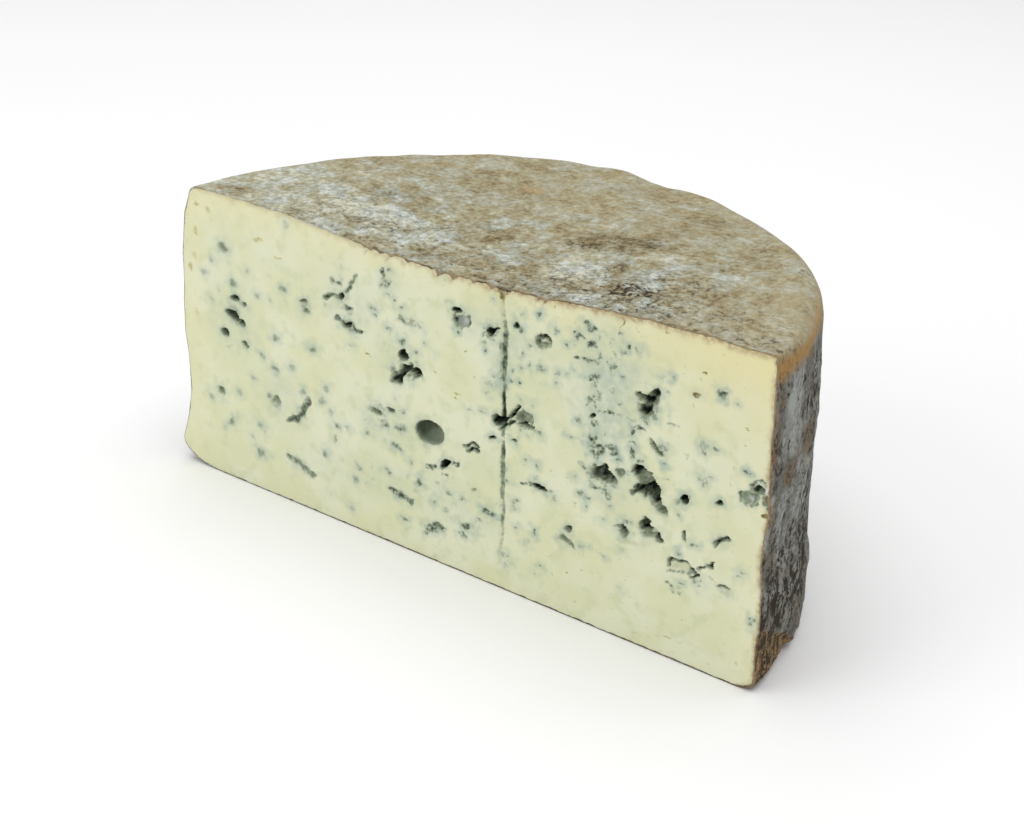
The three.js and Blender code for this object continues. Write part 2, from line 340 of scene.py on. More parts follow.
@dataclass(frozen=True)
class Outline:
    """The closed line round the cut: left along the top, down, right along the bottom and up."""

    point: Array
    outward: Array
    at: Array

    def inset(self, depth: Array, y: float) -> Array:
        """The line moved inwards by a depth for each point, in a plane y millimetres behind the cut."""
        flat = self.point - self.outward * depth[:, None]
        return np.stack([flat[:, 0], np.full(len(flat), y), flat[:, 1]], -1)


def outline_of(wheel: Wheel, share: Array, side: Array) -> Outline:
    """The wheel's outline in the cut.

    Args:
        wheel: the form.
        share: share of the way round for each point of the top and bottom edge.
        side: way of each point of the left and right edge.

    Returns:
        The line, with its outward directions square to it, and each point's place along it, one
        unit to a side.
    """
    ends = np.array([0.0, 1.0])
    top = wheel.skin(share, np.array([0.0])).point[0]
    bottom = wheel.skin(share, np.array([5.0])).point[0][::-1]
    sides = wheel.skin(ends, side).point
    point = np.concatenate([top, sides[:, 1], bottom, sides[::-1, 0]])[:, [0, 2]]
    place = np.append(0.0, np.cumsum(np.linalg.norm(np.roll(point, -1, 0) - point, axis=1)))
    thrice = np.concatenate([place[:-1] - place[-1], place[:-1], place + place[-1]])
    line = np.concatenate([point, point, point, point[:1]])
    ahead, behind = (
        np.stack([np.interp(place[:-1] + reach, thrice, line[:, k]) for k in (0, 1)], -1)
        for reach in (OUTWARD_REACH, -OUTWARD_REACH)
    )
    along = (ahead - behind) / np.linalg.norm(ahead - behind, axis=1)[:, None]
    down = (side - 1.0) / 3.0
    edge = np.arange(len(share)) / (len(share) - 1)
    at = np.concatenate([edge, 1.0 + down, 2.0 + edge, 4.0 - down[::-1]])
    return Outline(point, np.stack([along[:, 1], -along[:, 0]], -1), at)


# Grids of triangles and the loops round them


def border(ids: Array) -> Array:
    """The vertex numbers round a grid, in the same order as an outline."""
    return np.concatenate([ids[0], ids[1:-1, -1], ids[-1, ::-1], ids[-2:0:-1, 0]])


def skin_numbers(wheel_columns: int, way: Array, start: int) -> tuple[Array, Array]:
    """Vertex numbers of a skin's grid, with the top and bottom rows gathered to a point at each end.

    Args:
        wheel_columns: how many columns the grid has.
        way: the way of each row.
        start: the number of the first vertex.

    Returns:
        The grid of numbers, and the numbers along the skin's edge in the cut.
    """
    ids = start + np.arange(len(way) * wheel_columns).reshape(len(way), wheel_columns)
    on_side = (way > Zone.TOP_EDGE.value) & (way < Zone.BOTTOM.value)
    for end in (0, -1):
        ids[way <= Zone.TOP_EDGE.value, end] = ids[0, end]
        ids[way >= Zone.BOTTOM.value, end] = ids[-1, end]
    left, right = ids[on_side, -1], ids[on_side, 0]
    return ids, np.concatenate([ids[0], left, ids[-1, ::-1], right[::-1]])


def grid_faces(ids: Array, outside: bool) -> Array:
    """Two triangles for each cell of a grid whose rows run away from the cut's top edge.

    Args:
        ids: vertex numbers, a row for each row of the grid.
        outside: True for the skin, seen from outside, False for the cut and for inner walls.

    Returns:
        Triangles facing the side asked for.
    """
    a, b, c, d = ids[:-1, :-1], ids[:-1, 1:], ids[1:, 1:], ids[1:, :-1]
    first, second = ([a, c, b], [a, d, c]) if outside else ([a, b, c], [a, c, d])
    return np.stack([np.stack(first, -1), np.stack(second, -1)], 2).reshape(-1, 3)


def ring_faces(outer: Array, inner: Array) -> Array:
    """Two triangles for each step between two closed loops of as many vertices."""
    a, b = outer, np.roll(outer, -1)
    c, d = np.roll(inner, -1), inner
    return np.concatenate([np.stack([a, b, c], -1), np.stack([a, c, d], -1)])


def zip_faces(fine: Array, coarse: Array, fine_at: Array, coarse_at: Array) -> Array:
    """Joins two closed loops that run the same way, the first with more points everywhere.

    Each step of the fine loop takes the coarse point nearest to its middle, counted along the loop,
    and each step of the coarse loop takes the fine point where that choice changes.

    Args:
        fine, coarse: vertex numbers along each loop.
        fine_at, coarse_at: place along the loop of each vertex, rising from 0 to below 4.

    Returns:
        Triangles with the fine loop on their first side.
    """
    middle = (fine_at + np.append(fine_at[1:], 4.0)) / 2.0
    limits = (coarse_at + np.append(coarse_at[1:], 4.0)) / 2.0
    near = np.searchsorted(limits, middle) % len(coarse)
    before = np.roll(near, 1)
    fans = np.stack([fine, np.roll(fine, -1), coarse[near]], -1)
    turns = np.flatnonzero(near != before)
    return np.concatenate([fans, np.stack([fine[turns], coarse[near[turns]], coarse[before[turns]]], -1)])


@dataclass
class Shell:
    """Collects the vertices, triangles and numbers of one piece."""

    points: list[Array] = field(default_factory=list)
    faces: list[Array] = field(default_factory=list)
    values: dict[str, list[Array]] = field(default_factory=dict)
    count: int = 0

    def add(self, points: Array, **values: Array) -> Array:
        """Adds vertices, with a number for each under each name, and gives their new numbers."""
        flat = points.reshape(-1, 3)
        for key, numbers in values.items():
            stack = self.values.setdefault(key, [np.zeros(self.count)])
            stack.append(np.broadcast_to(numbers, points.shape[:-1]).reshape(-1))
        for key, stack in self.values.items():
            if key not in values:
                stack.append(np.zeros(len(flat)))
        self.points.append(flat)
        ids = self.count + np.arange(len(flat))
        self.count += len(flat)
        return ids.reshape(points.shape[:-1])

    def piece(self, name: str, shift: Array) -> bpy.types.Object:
        """Makes the smooth shaded mesh, without the triangles that have no width.

        Args:
            name: the piece's name.
            shift: what is added to every place, in millimetres.

        Returns:
            The object, at the origin, linked to the scene.
        """
        faces = np.concatenate(self.faces)
        a, b, c = faces.T
        faces = faces[(a != b) & (b != c) & (a != c)]
        used, corners = np.unique(faces, return_inverse=True)
        corners = corners.reshape(-1).astype(np.int32)
        places = (np.concatenate(self.points)[used] + shift) * MM
        mesh = bpy.data.meshes.new(name)
        mesh.vertices.add(len(used))
        mesh.vertices.foreach_set("co", places.astype(np.float32).ravel())
        mesh.loops.add(len(corners))
        mesh.loops.foreach_set("vertex_index", corners)
        mesh.polygons.add(len(faces))
        mesh.polygons.foreach_set("loop_start", np.arange(0, len(corners), 3, dtype=np.int32))
        mesh.polygons.foreach_set("use_smooth", np.ones(len(faces), dtype=bool))
        for key, stack in self.values.items():
            layer = mesh.attributes.new(key, "FLOAT", "POINT")
            layer.data.foreach_set("value", np.concatenate(stack)[used].astype(np.float32))
        mesh.update(calc_edges=True)
        piece = bpy.data.objects.new(name, mesh)
        bpy.context.scene.collection.objects.link(piece)
        return piece


# Materials

SMOOTH = {"interpolation_type": "SMOOTHSTEP"}
RGBA = {"data_type": "RGBA"}
MULTIPLY_ADD = {"operation": "MULTIPLY_ADD"}


def linear(colour: int) -> tuple[float, float, float, float]:
    """Turns an sRGB hex colour into linear red, green, blue and an alpha of 1."""
    parts = [((colour >> shift) & 255) / 255.0 for shift in (16, 8, 0)]
    bent = [p / 12.92 if p <= 0.04045 else ((p + 0.055) / 1.055) ** 2.4 for p in parts]
    return (*bent, 1.0)


def add_node(
    tree: bpy.types.NodeTree,
    kind: str,
    settings: dict | None = None,
    inputs: dict | None = None,
    stops: Sequence[tuple[float, int]] = (),
) -> bpy.types.NodeSocket | None:
    """Adds a node with its settings and links.

    Args:
        tree: the material's node tree.
        kind: the node's type name, without its ShaderNode start.
        settings: properties of the node itself.
        inputs: by name or number, what each input is linked to or set to.
        stops: places from 0 to 1 and hex colours of a colour ramp, in rising order.

    Returns:
        The node's first output in use, or None when it has no output.
    """
    node = tree.nodes.new("ShaderNode" + kind)
    for key, value in (settings or {}).items():
        setattr(node, key, value)
    for key, value in (inputs or {}).items():
        if isinstance(value, bpy.types.NodeSocket):
            tree.links.new(value, node.inputs[key])
        else:
            node.inputs[key].default_value = value
    for k, (place, colour) in enumerate(stops):
        element = node.color_ramp.elements.new(place) if k > 1 else node.color_ramp.elements[k]
        element.position, element.color = place, linear(colour)
    return next((output for output in node.outputs if output.enabled), None)


def new_material(name: str) -> tuple[bpy.types.Material, partial]:
    """An empty material of that name, and add_node bound to its tree."""
    material = bpy.data.materials.new(name)
    material.use_nodes = True
    material.node_tree.nodes.clear()
    return material, partial(add_node, material.node_tree)


@dataclass(frozen=True)
class PasteFinish:
    """Soft ripe cow's milk paste, cut with a wire: moist, a little translucent, pale cream, with
    blue green mould that lies as a wash with dark grains in the paste and near black in hollows."""

    cream: int = 0xDDDFB9
    pale: int = 0xE3E5C8
    shade: int = 0xD4D8B1
    butter: int = 0xE9E1AE
    tinted: int = 0xA5B8AA
    rust: int = 0xB39C75
    fluff: int = 0xD6D8D6
    roughness: float = 0.5
    patch_mm: float = 15.0
    mottle_mm: float = 5.0
    speckle_mm: tuple[float, float] = (1.1, 2.6)
    grain_mm: tuple[float, float] = (0.7, 3.0)
    grain_depth_mm: tuple[float, float] = (0.08, 0.16)
    mould: tuple[tuple[float, int], ...] = (
        (0.12, 0xC4CCB3),
        (1.0, 0x10150F),
        (0.32, 0xA6B096),
        (0.52, 0x7F8A74),
        (0.72, 0x4B5543),
        (0.86, 0x293024),
    )
    flecks: tuple[tuple[float, int], ...] = (
        (0.15, 0xC8D1BB),
        (1.0, 0x2B3226),
        (0.35, 0xB1BAA3),
        (0.55, 0x8E9A84),
        (0.75, 0x626D58),
        (0.88, 0x444D3D),
    )
    ochre: tuple[tuple[float, int], ...] = (
        (0.0, 0xDAD5A4),
        (1.0, 0x44301F),
        (0.35, 0xC2BB7D),
        (0.6, 0x857C42),
        (0.8, 0x6A5A33),
    )

    def material(self) -> bpy.types.Material:
        """Cream varied by slow noise, then tinted, flecked and speckled by the piece's own numbers."""
        material, add = new_material("blue_cheese_paste")
        place = add("TexCoord").node.outputs["Object"]
        own = {
            key: add("Attribute", {"attribute_name": key}).node.outputs["Fac"]
            for key in ("mould", "marble", "tint", "butter", "ochre", "rust", "fluff", "calm")
        }
        noise = {
            key: add("TexNoise", inputs={"Vector": place, "Scale": 1.0 / (size * MM), "Detail": detail})
            for key, size, detail in (
                ("patch", self.patch_mm, 2.0),
                ("mottle", self.mottle_mm, 2.0),
                ("fine", self.speckle_mm[0], 3.0),
                ("coarse", self.speckle_mm[1], 2.0),
                ("grain", self.grain_mm[0], 2.0),
                ("wave", self.grain_mm[1], 2.0),
            )
        }
        patch = add("MapRange", SMOOTH, {"Value": noise["patch"], "From Min": 0.36, "From Max": 0.64})
        body = add("Mix", RGBA, {0: patch, 6: linear(self.cream), 7: linear(self.pale)})
        mottle = add(
            "MapRange", SMOOTH,
            {"Value": noise["mottle"], "From Min": 0.5, "From Max": 0.72, "To Max": 0.75},
        )
        body = add("Mix", RGBA, {0: mottle, 6: body, 7: linear(self.shade)})
        body = add("Mix", RGBA, {0: own["butter"], 6: body, 7: linear(self.butter)})
        uneven = add("Math", MULTIPLY_ADD, {0: noise["coarse"], 1: 2.4, 2: -0.2})
        tint = add("Math", {"operation": "MULTIPLY", "use_clamp": True}, {0: own["tint"], 1: uneven})
        body = add("Mix", RGBA, {0: tint, 6: body, 7: linear(self.tinted)})
        # Ochre stains and mould are eaten into by two sizes of speckle
        speckle = add("Math", {"operation": "ADD"}, {0: noise["fine"], 1: noise["coarse"]})
        speckle = add("Math", {"operation": "SUBTRACT"}, {0: speckle, 1: 1.0})
        speckle = add("Mix", inputs={0: own["calm"], 2: speckle, 3: 0.0})
        stained = add("Math", MULTIPLY_ADD, {0: speckle, 1: 0.7, 2: own["ochre"]})
        shown = add("MapRange", SMOOTH, {"Value": stained, "From Min": 0.12, "From Max": 0.5})
        ochre = add("ValToRGB", inputs={0: stained}, stops=self.ochre)
        body = add("Mix", RGBA, {0: shown, 6: body, 7: ochre})
        # Two sizes of speckle break the rust and crumble the marbling
        rusted = add("Math", MULTIPLY_ADD, {0: speckle, 1: 1.7, 2: 0.75})
        rusted = add("Math", {"operation": "MULTIPLY", "use_clamp": True}, {0: own["rust"], 1: rusted})
        body = add("Mix", RGBA, {0: rusted, 6: body, 7: linear(self.rust)})
        crumbs = add("Math", MULTIPLY_ADD, {0: noise["fine"], 1: 3.4, 2: -1.2})
        crumbs = add("Math", MULTIPLY_ADD, {0: noise["coarse"], 1: 1.2, 2: crumbs})
        crumbs = add("Mix", inputs={0: own["calm"], 2: crumbs, 3: 1.1})
        veined = add("Math", {"operation": "MULTIPLY"}, {0: own["marble"], 1: crumbs})
        veined = add("MapRange", inputs={"Value": veined, "To Max": 1.0, "From Max": 1.45})
        flecked = add("MapRange", SMOOTH, {"Value": veined, "From Min": 0.06, "From Max": 0.6})
        flecks = add("ValToRGB", inputs={0: veined}, stops=self.flecks)
        body = add("Mix", RGBA, {0: flecked, 6: body, 7: flecks})
        broken = add("Math", MULTIPLY_ADD, {0: speckle, 1: 0.6, 2: own["mould"]})
        grown = add("MapRange", SMOOTH, {"Value": broken, "From Min": 0.1, "From Max": 0.4})
        mould = add("ValToRGB", inputs={0: broken}, stops=self.mould)
        body = add("Mix", RGBA, {0: grown, 6: body, 7: mould})
        body = add("Mix", RGBA, {0: own["fluff"], 6: body, 7: linear(self.fluff)})
        rough = add("MapRange", inputs={"Value": grown, "To Min": self.roughness, "To Max": 0.9})
        fine = add("Bump", inputs={"Height": noise["grain"], "Distance": self.grain_depth_mm[0] * MM})
        bumpy = add(
            "Bump",
            inputs={"Height": noise["wave"], "Distance": self.grain_depth_mm[1] * MM, "Normal": fine},
        )
        shader = add(
            "BsdfPrincipled",
            inputs={
                "Base Color": body,
                "Roughness": rough,
                "IOR": 1.45,
                "Specular IOR Level": 0.3,
                "Subsurface Weight": 0.15,
                "Subsurface Radius": (1.0, 0.8, 0.45),
                "Subsurface Scale": 1.2 * MM,
                "Normal": bumpy,
            },
        )
        add("OutputMaterial", inputs={"Surface": shader})
        return material


@dataclass(frozen=True)
class RindFinish:
    """Natural rind of a brined and aged cheese: dry, wrinkled and flaky, tan underneath, with a
    grey white bloom on its high places and dark creases between them; both are partly the rind's own
    colour and partly a painted highlight on the raised flakes and painted shade in the creases."""

    bloom: tuple[tuple[float, int], ...] = (
        (0.0, 0x4C4330),
        (1.0, 0xCFD1C8),
        (0.18, 0x766C50),
        (0.36, 0x938A71),
        (0.54, 0xA29E89),
        (0.74, 0xAFB1A3),
    )
    hues: tuple[int, int] = (0xFFF9E9, 0xF8FBFC)
    veil: int = 0xAFA27E
    crease: int = 0x32291B
    orange: int = 0xAC8448
    # The wall's colours are darker than the top's: partly the rind's own colour, partly painted shade of the
    # side turned from the lights
    wall_pale: int = 0xA8AAA5
    wall_grey: int = 0x77766E
    wall_brown: int = 0x7B664A
    wall_dark: int = 0x37352D
    scar: tuple[int, int] = (0xA88A60, 0x3A3025)
    edge: tuple[int, int] = (0x846D51, 0xB8A383)
    roughness: float = 0.85
    flake_mm: float = 1.6
    gap_mm: float = 1.4
    grit_mm: float = 0.8
    clump_mm: float = 3.8
    patch_mm: float = 9.0
    streak_mm: float = 2.7
    blotch_mm: float = 5.0
    streak_stretch: float = 0.7
    flake_depth_mm: float = 0.6
    grit_depth_mm: float = 0.2

    def top(self, add: partial, own: dict, noise: dict) -> bpy.types.NodeSocket:
        """Colour of the top: brown where the bloom is worn off, through tan to grey white on high
        flakes, in clumps of two sizes. The lightening on high flakes is partly bloom and partly a
        painted highlight on the relief.

        Args:
            add: add_node bound to the material's tree.
            own: the piece's own numbers by name.
            noise: the noises by name.

        Returns:
            The colour.
        """
        share = add("Math", MULTIPLY_ADD, {0: noise["patch"], 1: 1.5, 2: own["bloom"]})
        share = add("Math", MULTIPLY_ADD, {0: noise["clump"], 1: 2.2, 2: share})
        # Lighter where the flake bump is high: partly bloom, partly a painted highlight on the flakes
        flake_bloom_and_highlight = add("MapRange", SMOOTH, {"Value": noise["flake"], "From Min": 0.38, "From Max": 0.62})
        share = add("Math", MULTIPLY_ADD, {0: flake_bloom_and_highlight, 1: 0.58, 2: share})
        # Lighter where the skin's relief is high: partly bloom, partly a painted highlight
        share = add("Math", MULTIPLY_ADD, {0: own["high"], 1: 0.7, 2: share})
        share = add("MapRange", inputs={"Value": share, "From Min": 2.06, "From Max": 4.06})
        top = add("ValToRGB", inputs={0: share}, stops=self.bloom)
        hue = add("MapRange", SMOOTH, {"Value": noise["patch"], "From Min": 0.4, "From Max": 0.62})
        hue = add("Mix", RGBA, {0: hue, 6: linear(self.hues[0]), 7: linear(self.hues[1])})
        top = add("Mix", {**RGBA, "blend_type": "MULTIPLY"}, {0: 1.0, 6: top, 7: hue})
        return add("Mix", RGBA, {0: own["veil"], 6: top, 7: linear(self.veil)})

    def wall(self, add: partial, own: dict, noise: dict) -> bpy.types.NodeSocket:
        """Colour of the wall: grey streaks that run down it, brown where the bloom is worn off, dark
        in its crevices, and bare ochre brown in the scar. All of it is darker than the top partly as
        painted shade of a wall turned from the lights, and the crevices partly as painted shade. Takes
        and gives the same as top."""
        paled = add("Math", MULTIPLY_ADD, {0: noise["streak"], 1: 0.6, 2: noise["blotch"]})
        paled = add("Math", MULTIPLY_ADD, {0: own["bloom"], 1: 0.7, 2: paled})
        paled = add("MapRange", SMOOTH, {"Value": paled, "From Min": 0.98, "From Max": 1.46})
        wall = add("Mix", RGBA, {0: paled, 6: linear(self.wall_grey), 7: linear(self.wall_pale)})
        worn = add("Math", {"operation": "SUBTRACT"}, {0: noise["patch"], 1: own["bloom"]})
        worn = add("Math", MULTIPLY_ADD, {0: noise["blotch"], 1: 1.2, 2: worn})
        worn = add("Math", MULTIPLY_ADD, {0: noise["streak"], 1: 0.6, 2: worn})
        worn = add(
            "MapRange", SMOOTH,
            {"Value": worn, "From Min": 0.9, "From Max": 1.36, "To Max": 0.85},
        )
        wall = add("Mix", RGBA, {0: worn, 6: wall, 7: linear(self.wall_brown)})
        # Dark crevices: partly the rind's own colour, partly painted shade
        gap = add("Math", MULTIPLY_ADD, {0: own["crease"], 1: -0.14, 2: noise["streak"]})
        gap = add("MapRange", SMOOTH, {"Value": gap, "From Min": 0.37, "From Max": 0.25})
        wall = add("Mix", RGBA, {0: gap, 6: wall, 7: linear(self.wall_dark)})
        bare = add("MapRange", SMOOTH, {"Value": noise["streak"], "From Min": 0.36, "From Max": 0.6})
        bare = add("Mix", RGBA, {0: bare, 6: linear(self.scar[1]), 7: linear(self.scar[0])})
        return add("Mix", RGBA, {0: own["scar"], 6: wall, 7: bare})

    def material(self) -> bpy.types.Material:
        """Top and wall colours by the piece's own numbers, with an orange band and dark creases that
        are partly painted shade.
        """
        material, add = new_material("natural_cheese_rind")
        place = add("TexCoord").node.outputs["Object"]
        down = add("Mapping", inputs={"Vector": place, "Scale": (1.0, 1.0, self.streak_stretch)})
        own = {
            key: add("Attribute", {"attribute_name": key}).node.outputs["Fac"]
            for key in ("bloom", "veil", "high", "crease", "line", "orange", "wall", "scar", "edge")
        }
        noise = {
            key: add(
                "TexNoise",
                inputs={"Vector": at, "Scale": 1.0 / (size * MM), "Detail": detail, "Roughness": 0.6},
            )
            for key, at, size, detail in (
                ("flake", place, self.flake_mm, 3.0),
                ("grit", place, self.grit_mm, 2.0),
                ("gap", place, self.gap_mm, 3.0),
                ("clump", place, self.clump_mm, 3.0),
                ("patch", place, self.patch_mm, 3.0),
                ("streak", down, self.streak_mm, 3.0),
                ("blotch", down, self.blotch_mm, 3.0),
            )
        }
        top = self.top(add, own, noise)
        skin = add("Mix", RGBA, {0: own["wall"], 6: top, 7: self.wall(add, own, noise)})
        rusty = add("Math", MULTIPLY_ADD, {0: noise["patch"], 1: 0.7, 2: own["orange"]})
        rusty = add("Math", MULTIPLY_ADD, {0: noise["flake"], 1: 0.4, 2: rusty})
        rusty = add(
            "MapRange", SMOOTH,
            {"Value": rusty, "From Min": 0.62, "From Max": 1.65, "To Max": 0.95},
        )
        skin = add("Mix", RGBA, {0: rusty, 6: skin, 7: linear(self.orange)})
        rim = add("Mix", RGBA, {0: noise["patch"], 6: linear(self.edge[0]), 7: linear(self.edge[1])})
        skin = add("Mix", RGBA, {0: own["edge"], 6: skin, 7: rim})
        # Dark creases and gaps: partly the rind's own dark crevices, partly painted shade between the flakes
        low = add("MapRange", SMOOTH, {"Value": noise["gap"], "From Min": 0.53, "From Max": 0.4})
        lined = add("Math", MULTIPLY_ADD, {0: noise["gap"], 1: 3.0, 2: -0.8})
        lined = add("Math", {"operation": "MULTIPLY"}, {0: own["line"], 1: lined})
        dark = add("Math", {**MULTIPLY_ADD, "use_clamp": True}, {0: own["crease"], 1: low, 2: lined})
        skin = add("Mix", RGBA, {0: dark, 6: skin, 7: linear(self.crease)})
        grit = add("Bump", inputs={"Height": noise["grit"], "Distance": self.grit_depth_mm * MM})
        flaky = add(
            "Bump",
            inputs={"Height": noise["flake"], "Distance": self.flake_depth_mm * MM, "Normal": grit},
        )
        shader = add(
            "BsdfPrincipled",
            inputs={
                "Base Color": skin,
                "Roughness": self.roughness,
                "Specular IOR Level": 0.25,
                "Normal": flaky,
            },
        )
        add("OutputMaterial", inputs={"Surface": shader})
        return material


@dataclass(frozen=True)
class FloorFinish:
    """Matt white painted board, even and without gloss."""

    white: int = 0xF8F8F8
    shade: int = 0xF4F4F4
    patch_mm: float = 300.0
    roughness: float = 0.95

    def material(self) -> bpy.types.Material:
        """White with a trace of slow unevenness."""
        material, add = new_material("matt_white_board")
        place = add("TexCoord").node.outputs["Object"]
        slow = add("TexNoise", inputs={"Vector": place, "Scale": 1.0 / (self.patch_mm * MM)})
        white = add("Mix", RGBA, {0: slow, 6: linear(self.white), 7: linear(self.shade)})
        shader = add(
            "BsdfPrincipled",
            inputs={"Base Color": white, "Roughness": self.roughness, "Specular IOR Level": 0.1},
        )
        add("OutputMaterial", inputs={"Surface": shader})
        return material


# What the cut shows


@dataclass(frozen=True)
class Hollow:
    """A pocket in the paste: place of its middle, size, turn in degrees, depth, how thick the
    mould in it is, from 0 for clean paste to 1 for black, and how ragged it is, from 0 to 1."""

    x: float
    z: float
    wide: float
    high: float
    turn: float
    deep: float
    mould: float
    rough: float = 1.0


@dataclass(frozen=True)
class Crack:
    """A split along a broken line: its width, depth, mould, ochre and the places it runs through."""

    wide: float
    deep: float
    mould: float
    ochre: float
    line: tuple[tuple[float, float], ...]


@dataclass(frozen=True)
class Marbling:
    """A part of the paste that the mould has spread through: place, size, tint and vein strength."""

    x: float
    z: float
    wide: float
    high: float
    turn: float
    tint: float
    veins: float


HOLLOWS = (
    Hollow(66.0, 75.4, 6.2, 4.2, 55, 5.0, 0.82),
    Hollow(64.2, 71.6, 4.8, 3.6, 20, 3.0, 0.52),
    Hollow(52.8, 48.0, 9.4, 4.8, -8, 5.0, 0.66),
    Hollow(58.2, 50.8, 3.4, 2.7, 10, 2.5, 0.62),
    Hollow(65.6, 52.0, 7.2, 4.6, -20, 4.5, 0.68),
    Hollow(65.0, 48.4, 6.0, 4.4, 25, 3.6, 0.72),
    Hollow(69.3, 48.0, 7.6, 4.0, -62, 4.8, 0.74),
    Hollow(72.0, 44.2, 3.8, 3.0, -30, 2.5, 0.46),
    Hollow(66.8, 38.2, 4.6, 3.2, 25, 3.6, 0.54),
    Hollow(69.2, 35.6, 6.6, 2.8, 5, 2.0, 0.36, 0.7),
    Hollow(60.6, 33.2, 2.6, 3.4, -20, 2.3, 0.46),
    Hollow(62.3, 30.6, 8.0, 2.0, 4, 1.2, 0.06),
    Hollow(77.9, 50.0, 3.2, 2.3, 35, 3.5, 1.0),
    Hollow(76.6, 48.4, 4.2, 2.0, 30, 1.0, 0.1),
    Hollow(88.0, 52.8, 2.6, 1.9, 25, 2.2, 0.98),
    Hollow(79.6, 29.4, 8.4, 3.0, 9, 1.3, 0.08),
    Hollow(96.6, 56.6, 4.4, 3.8, 10, 1.2, 0.42),
    Hollow(99.0, 59.6, 3.4, 2.6, 20, 1.4, 0.7),
    Hollow(101.4, 57.2, 3.2, 3.2, 0, 1.2, 0.36),
    Hollow(17.9, 53.4, 4.2, 3.4, -20, 3.6, 0.95),
    Hollow(25.8, 57.0, 6.2, 3.8, 12, 2.4, 0.4),
    Hollow(13.3, 79.6, 2.4, 2.6, 0, 3.0, 0.98),
    Hollow(21.7, 84.0, 1.9, 1.8, 0, 2.0, 0.95),
    Hollow(30.8, 81.0, 4.4, 2.6, 0, 2.2, 0.22),
    Hollow(1.2, 82.8, 4.2, 2.0, 8, 3.0, 0.98),
    Hollow(2.9, 79.2, 4.6, 3.6, 0, 2.0, 0.45),
    Hollow(32.6, 37.5, 5.4, 1.5, -8, 3.0, 0.98, 0.3),
    Hollow(15.3, 48.0, 2.4, 1.3, 0, 1.8, 0.85),
    Hollow(23.3, 49.1, 2.4, 1.1, 0, 1.8, 0.92),
    Hollow(-6.6, 41.8, 10.8, 7.8, 9, 3.6, 0.68, 0.12),
    Hollow(-1.0, 33.4, 4.2, 2.6, 33, 3.8, 0.97),
    Hollow(-17.2, 63.2, 4.4, 4.2, 0, 4.2, 0.97, 0.7),
    Hollow(-18.3, 54.8, 3.2, 3.0, 0, 3.0, 0.95, 0.6),
    Hollow(-40.8, 75.2, 2.3, 2.2, 0, 3.2, 0.97),
    Hollow(-38.3, 66.8, 4.6, 2.0, -12, 3.2, 0.92),
    Hollow(-55.0, 69.3, 3.7, 1.6, 0, 2.4, 0.82),
    Hollow(-54.2, 66.8, 2.2, 2.2, 0, 2.2, 0.8),
    Hollow(-27.0, 42.5, 5.0, 1.8, 0, 2.2, 0.8),
    Hollow(-21.0, 44.3, 3.6, 1.6, 0, 1.8, 0.72),
    Hollow(-84.5, 56.8, 5.6, 3.2, -10, 4.2, 0.98),
    Hollow(-81.0, 55.3, 3.4, 2.6, 0, 3.0, 0.9),
    Hollow(-83.2, 62.5, 3.4, 2.4, 0, 3.0, 0.92),
    Hollow(-79.5, 61.5, 2.2, 1.6, 0, 2.0, 0.75),
    Hollow(-87.7, 50.3, 3.6, 2.6, 0, 3.0, 0.88),
    Hollow(-79.8, 48.3, 2.8, 2.1, 0, 2.4, 0.84),
    Hollow(-87.5, 78.3, 4.0, 2.4, -30, 1.6, 0.5),
    Hollow(-66.5, 32.5, 3.4, 4.4, 0, 2.5, 0.66),
    Hollow(-90.3, 28.7, 3.2, 3.0, 0, 2.0, 0.62),
    Hollow(-42.4, 28.0, 1.8, 3.0, 0, 1.4, 0.4),
    Hollow(43.0, 28.2, 1.9, 3.2, -6, 1.8, 0.66),
    Hollow(42.6, 23.7, 6.4, 2.0, -20, 1.6, 0.46),
    Hollow(86.0, 82.5, 2.7, 1.5, 50, 1.6, 0.86),
    Hollow(48.0, 65.0, 2.2, 1.6, 40, 2.0, 0.92),
    Hollow(9.7, 29.0, 1.6, 1.3, 0, 1.0, 0.3),
)

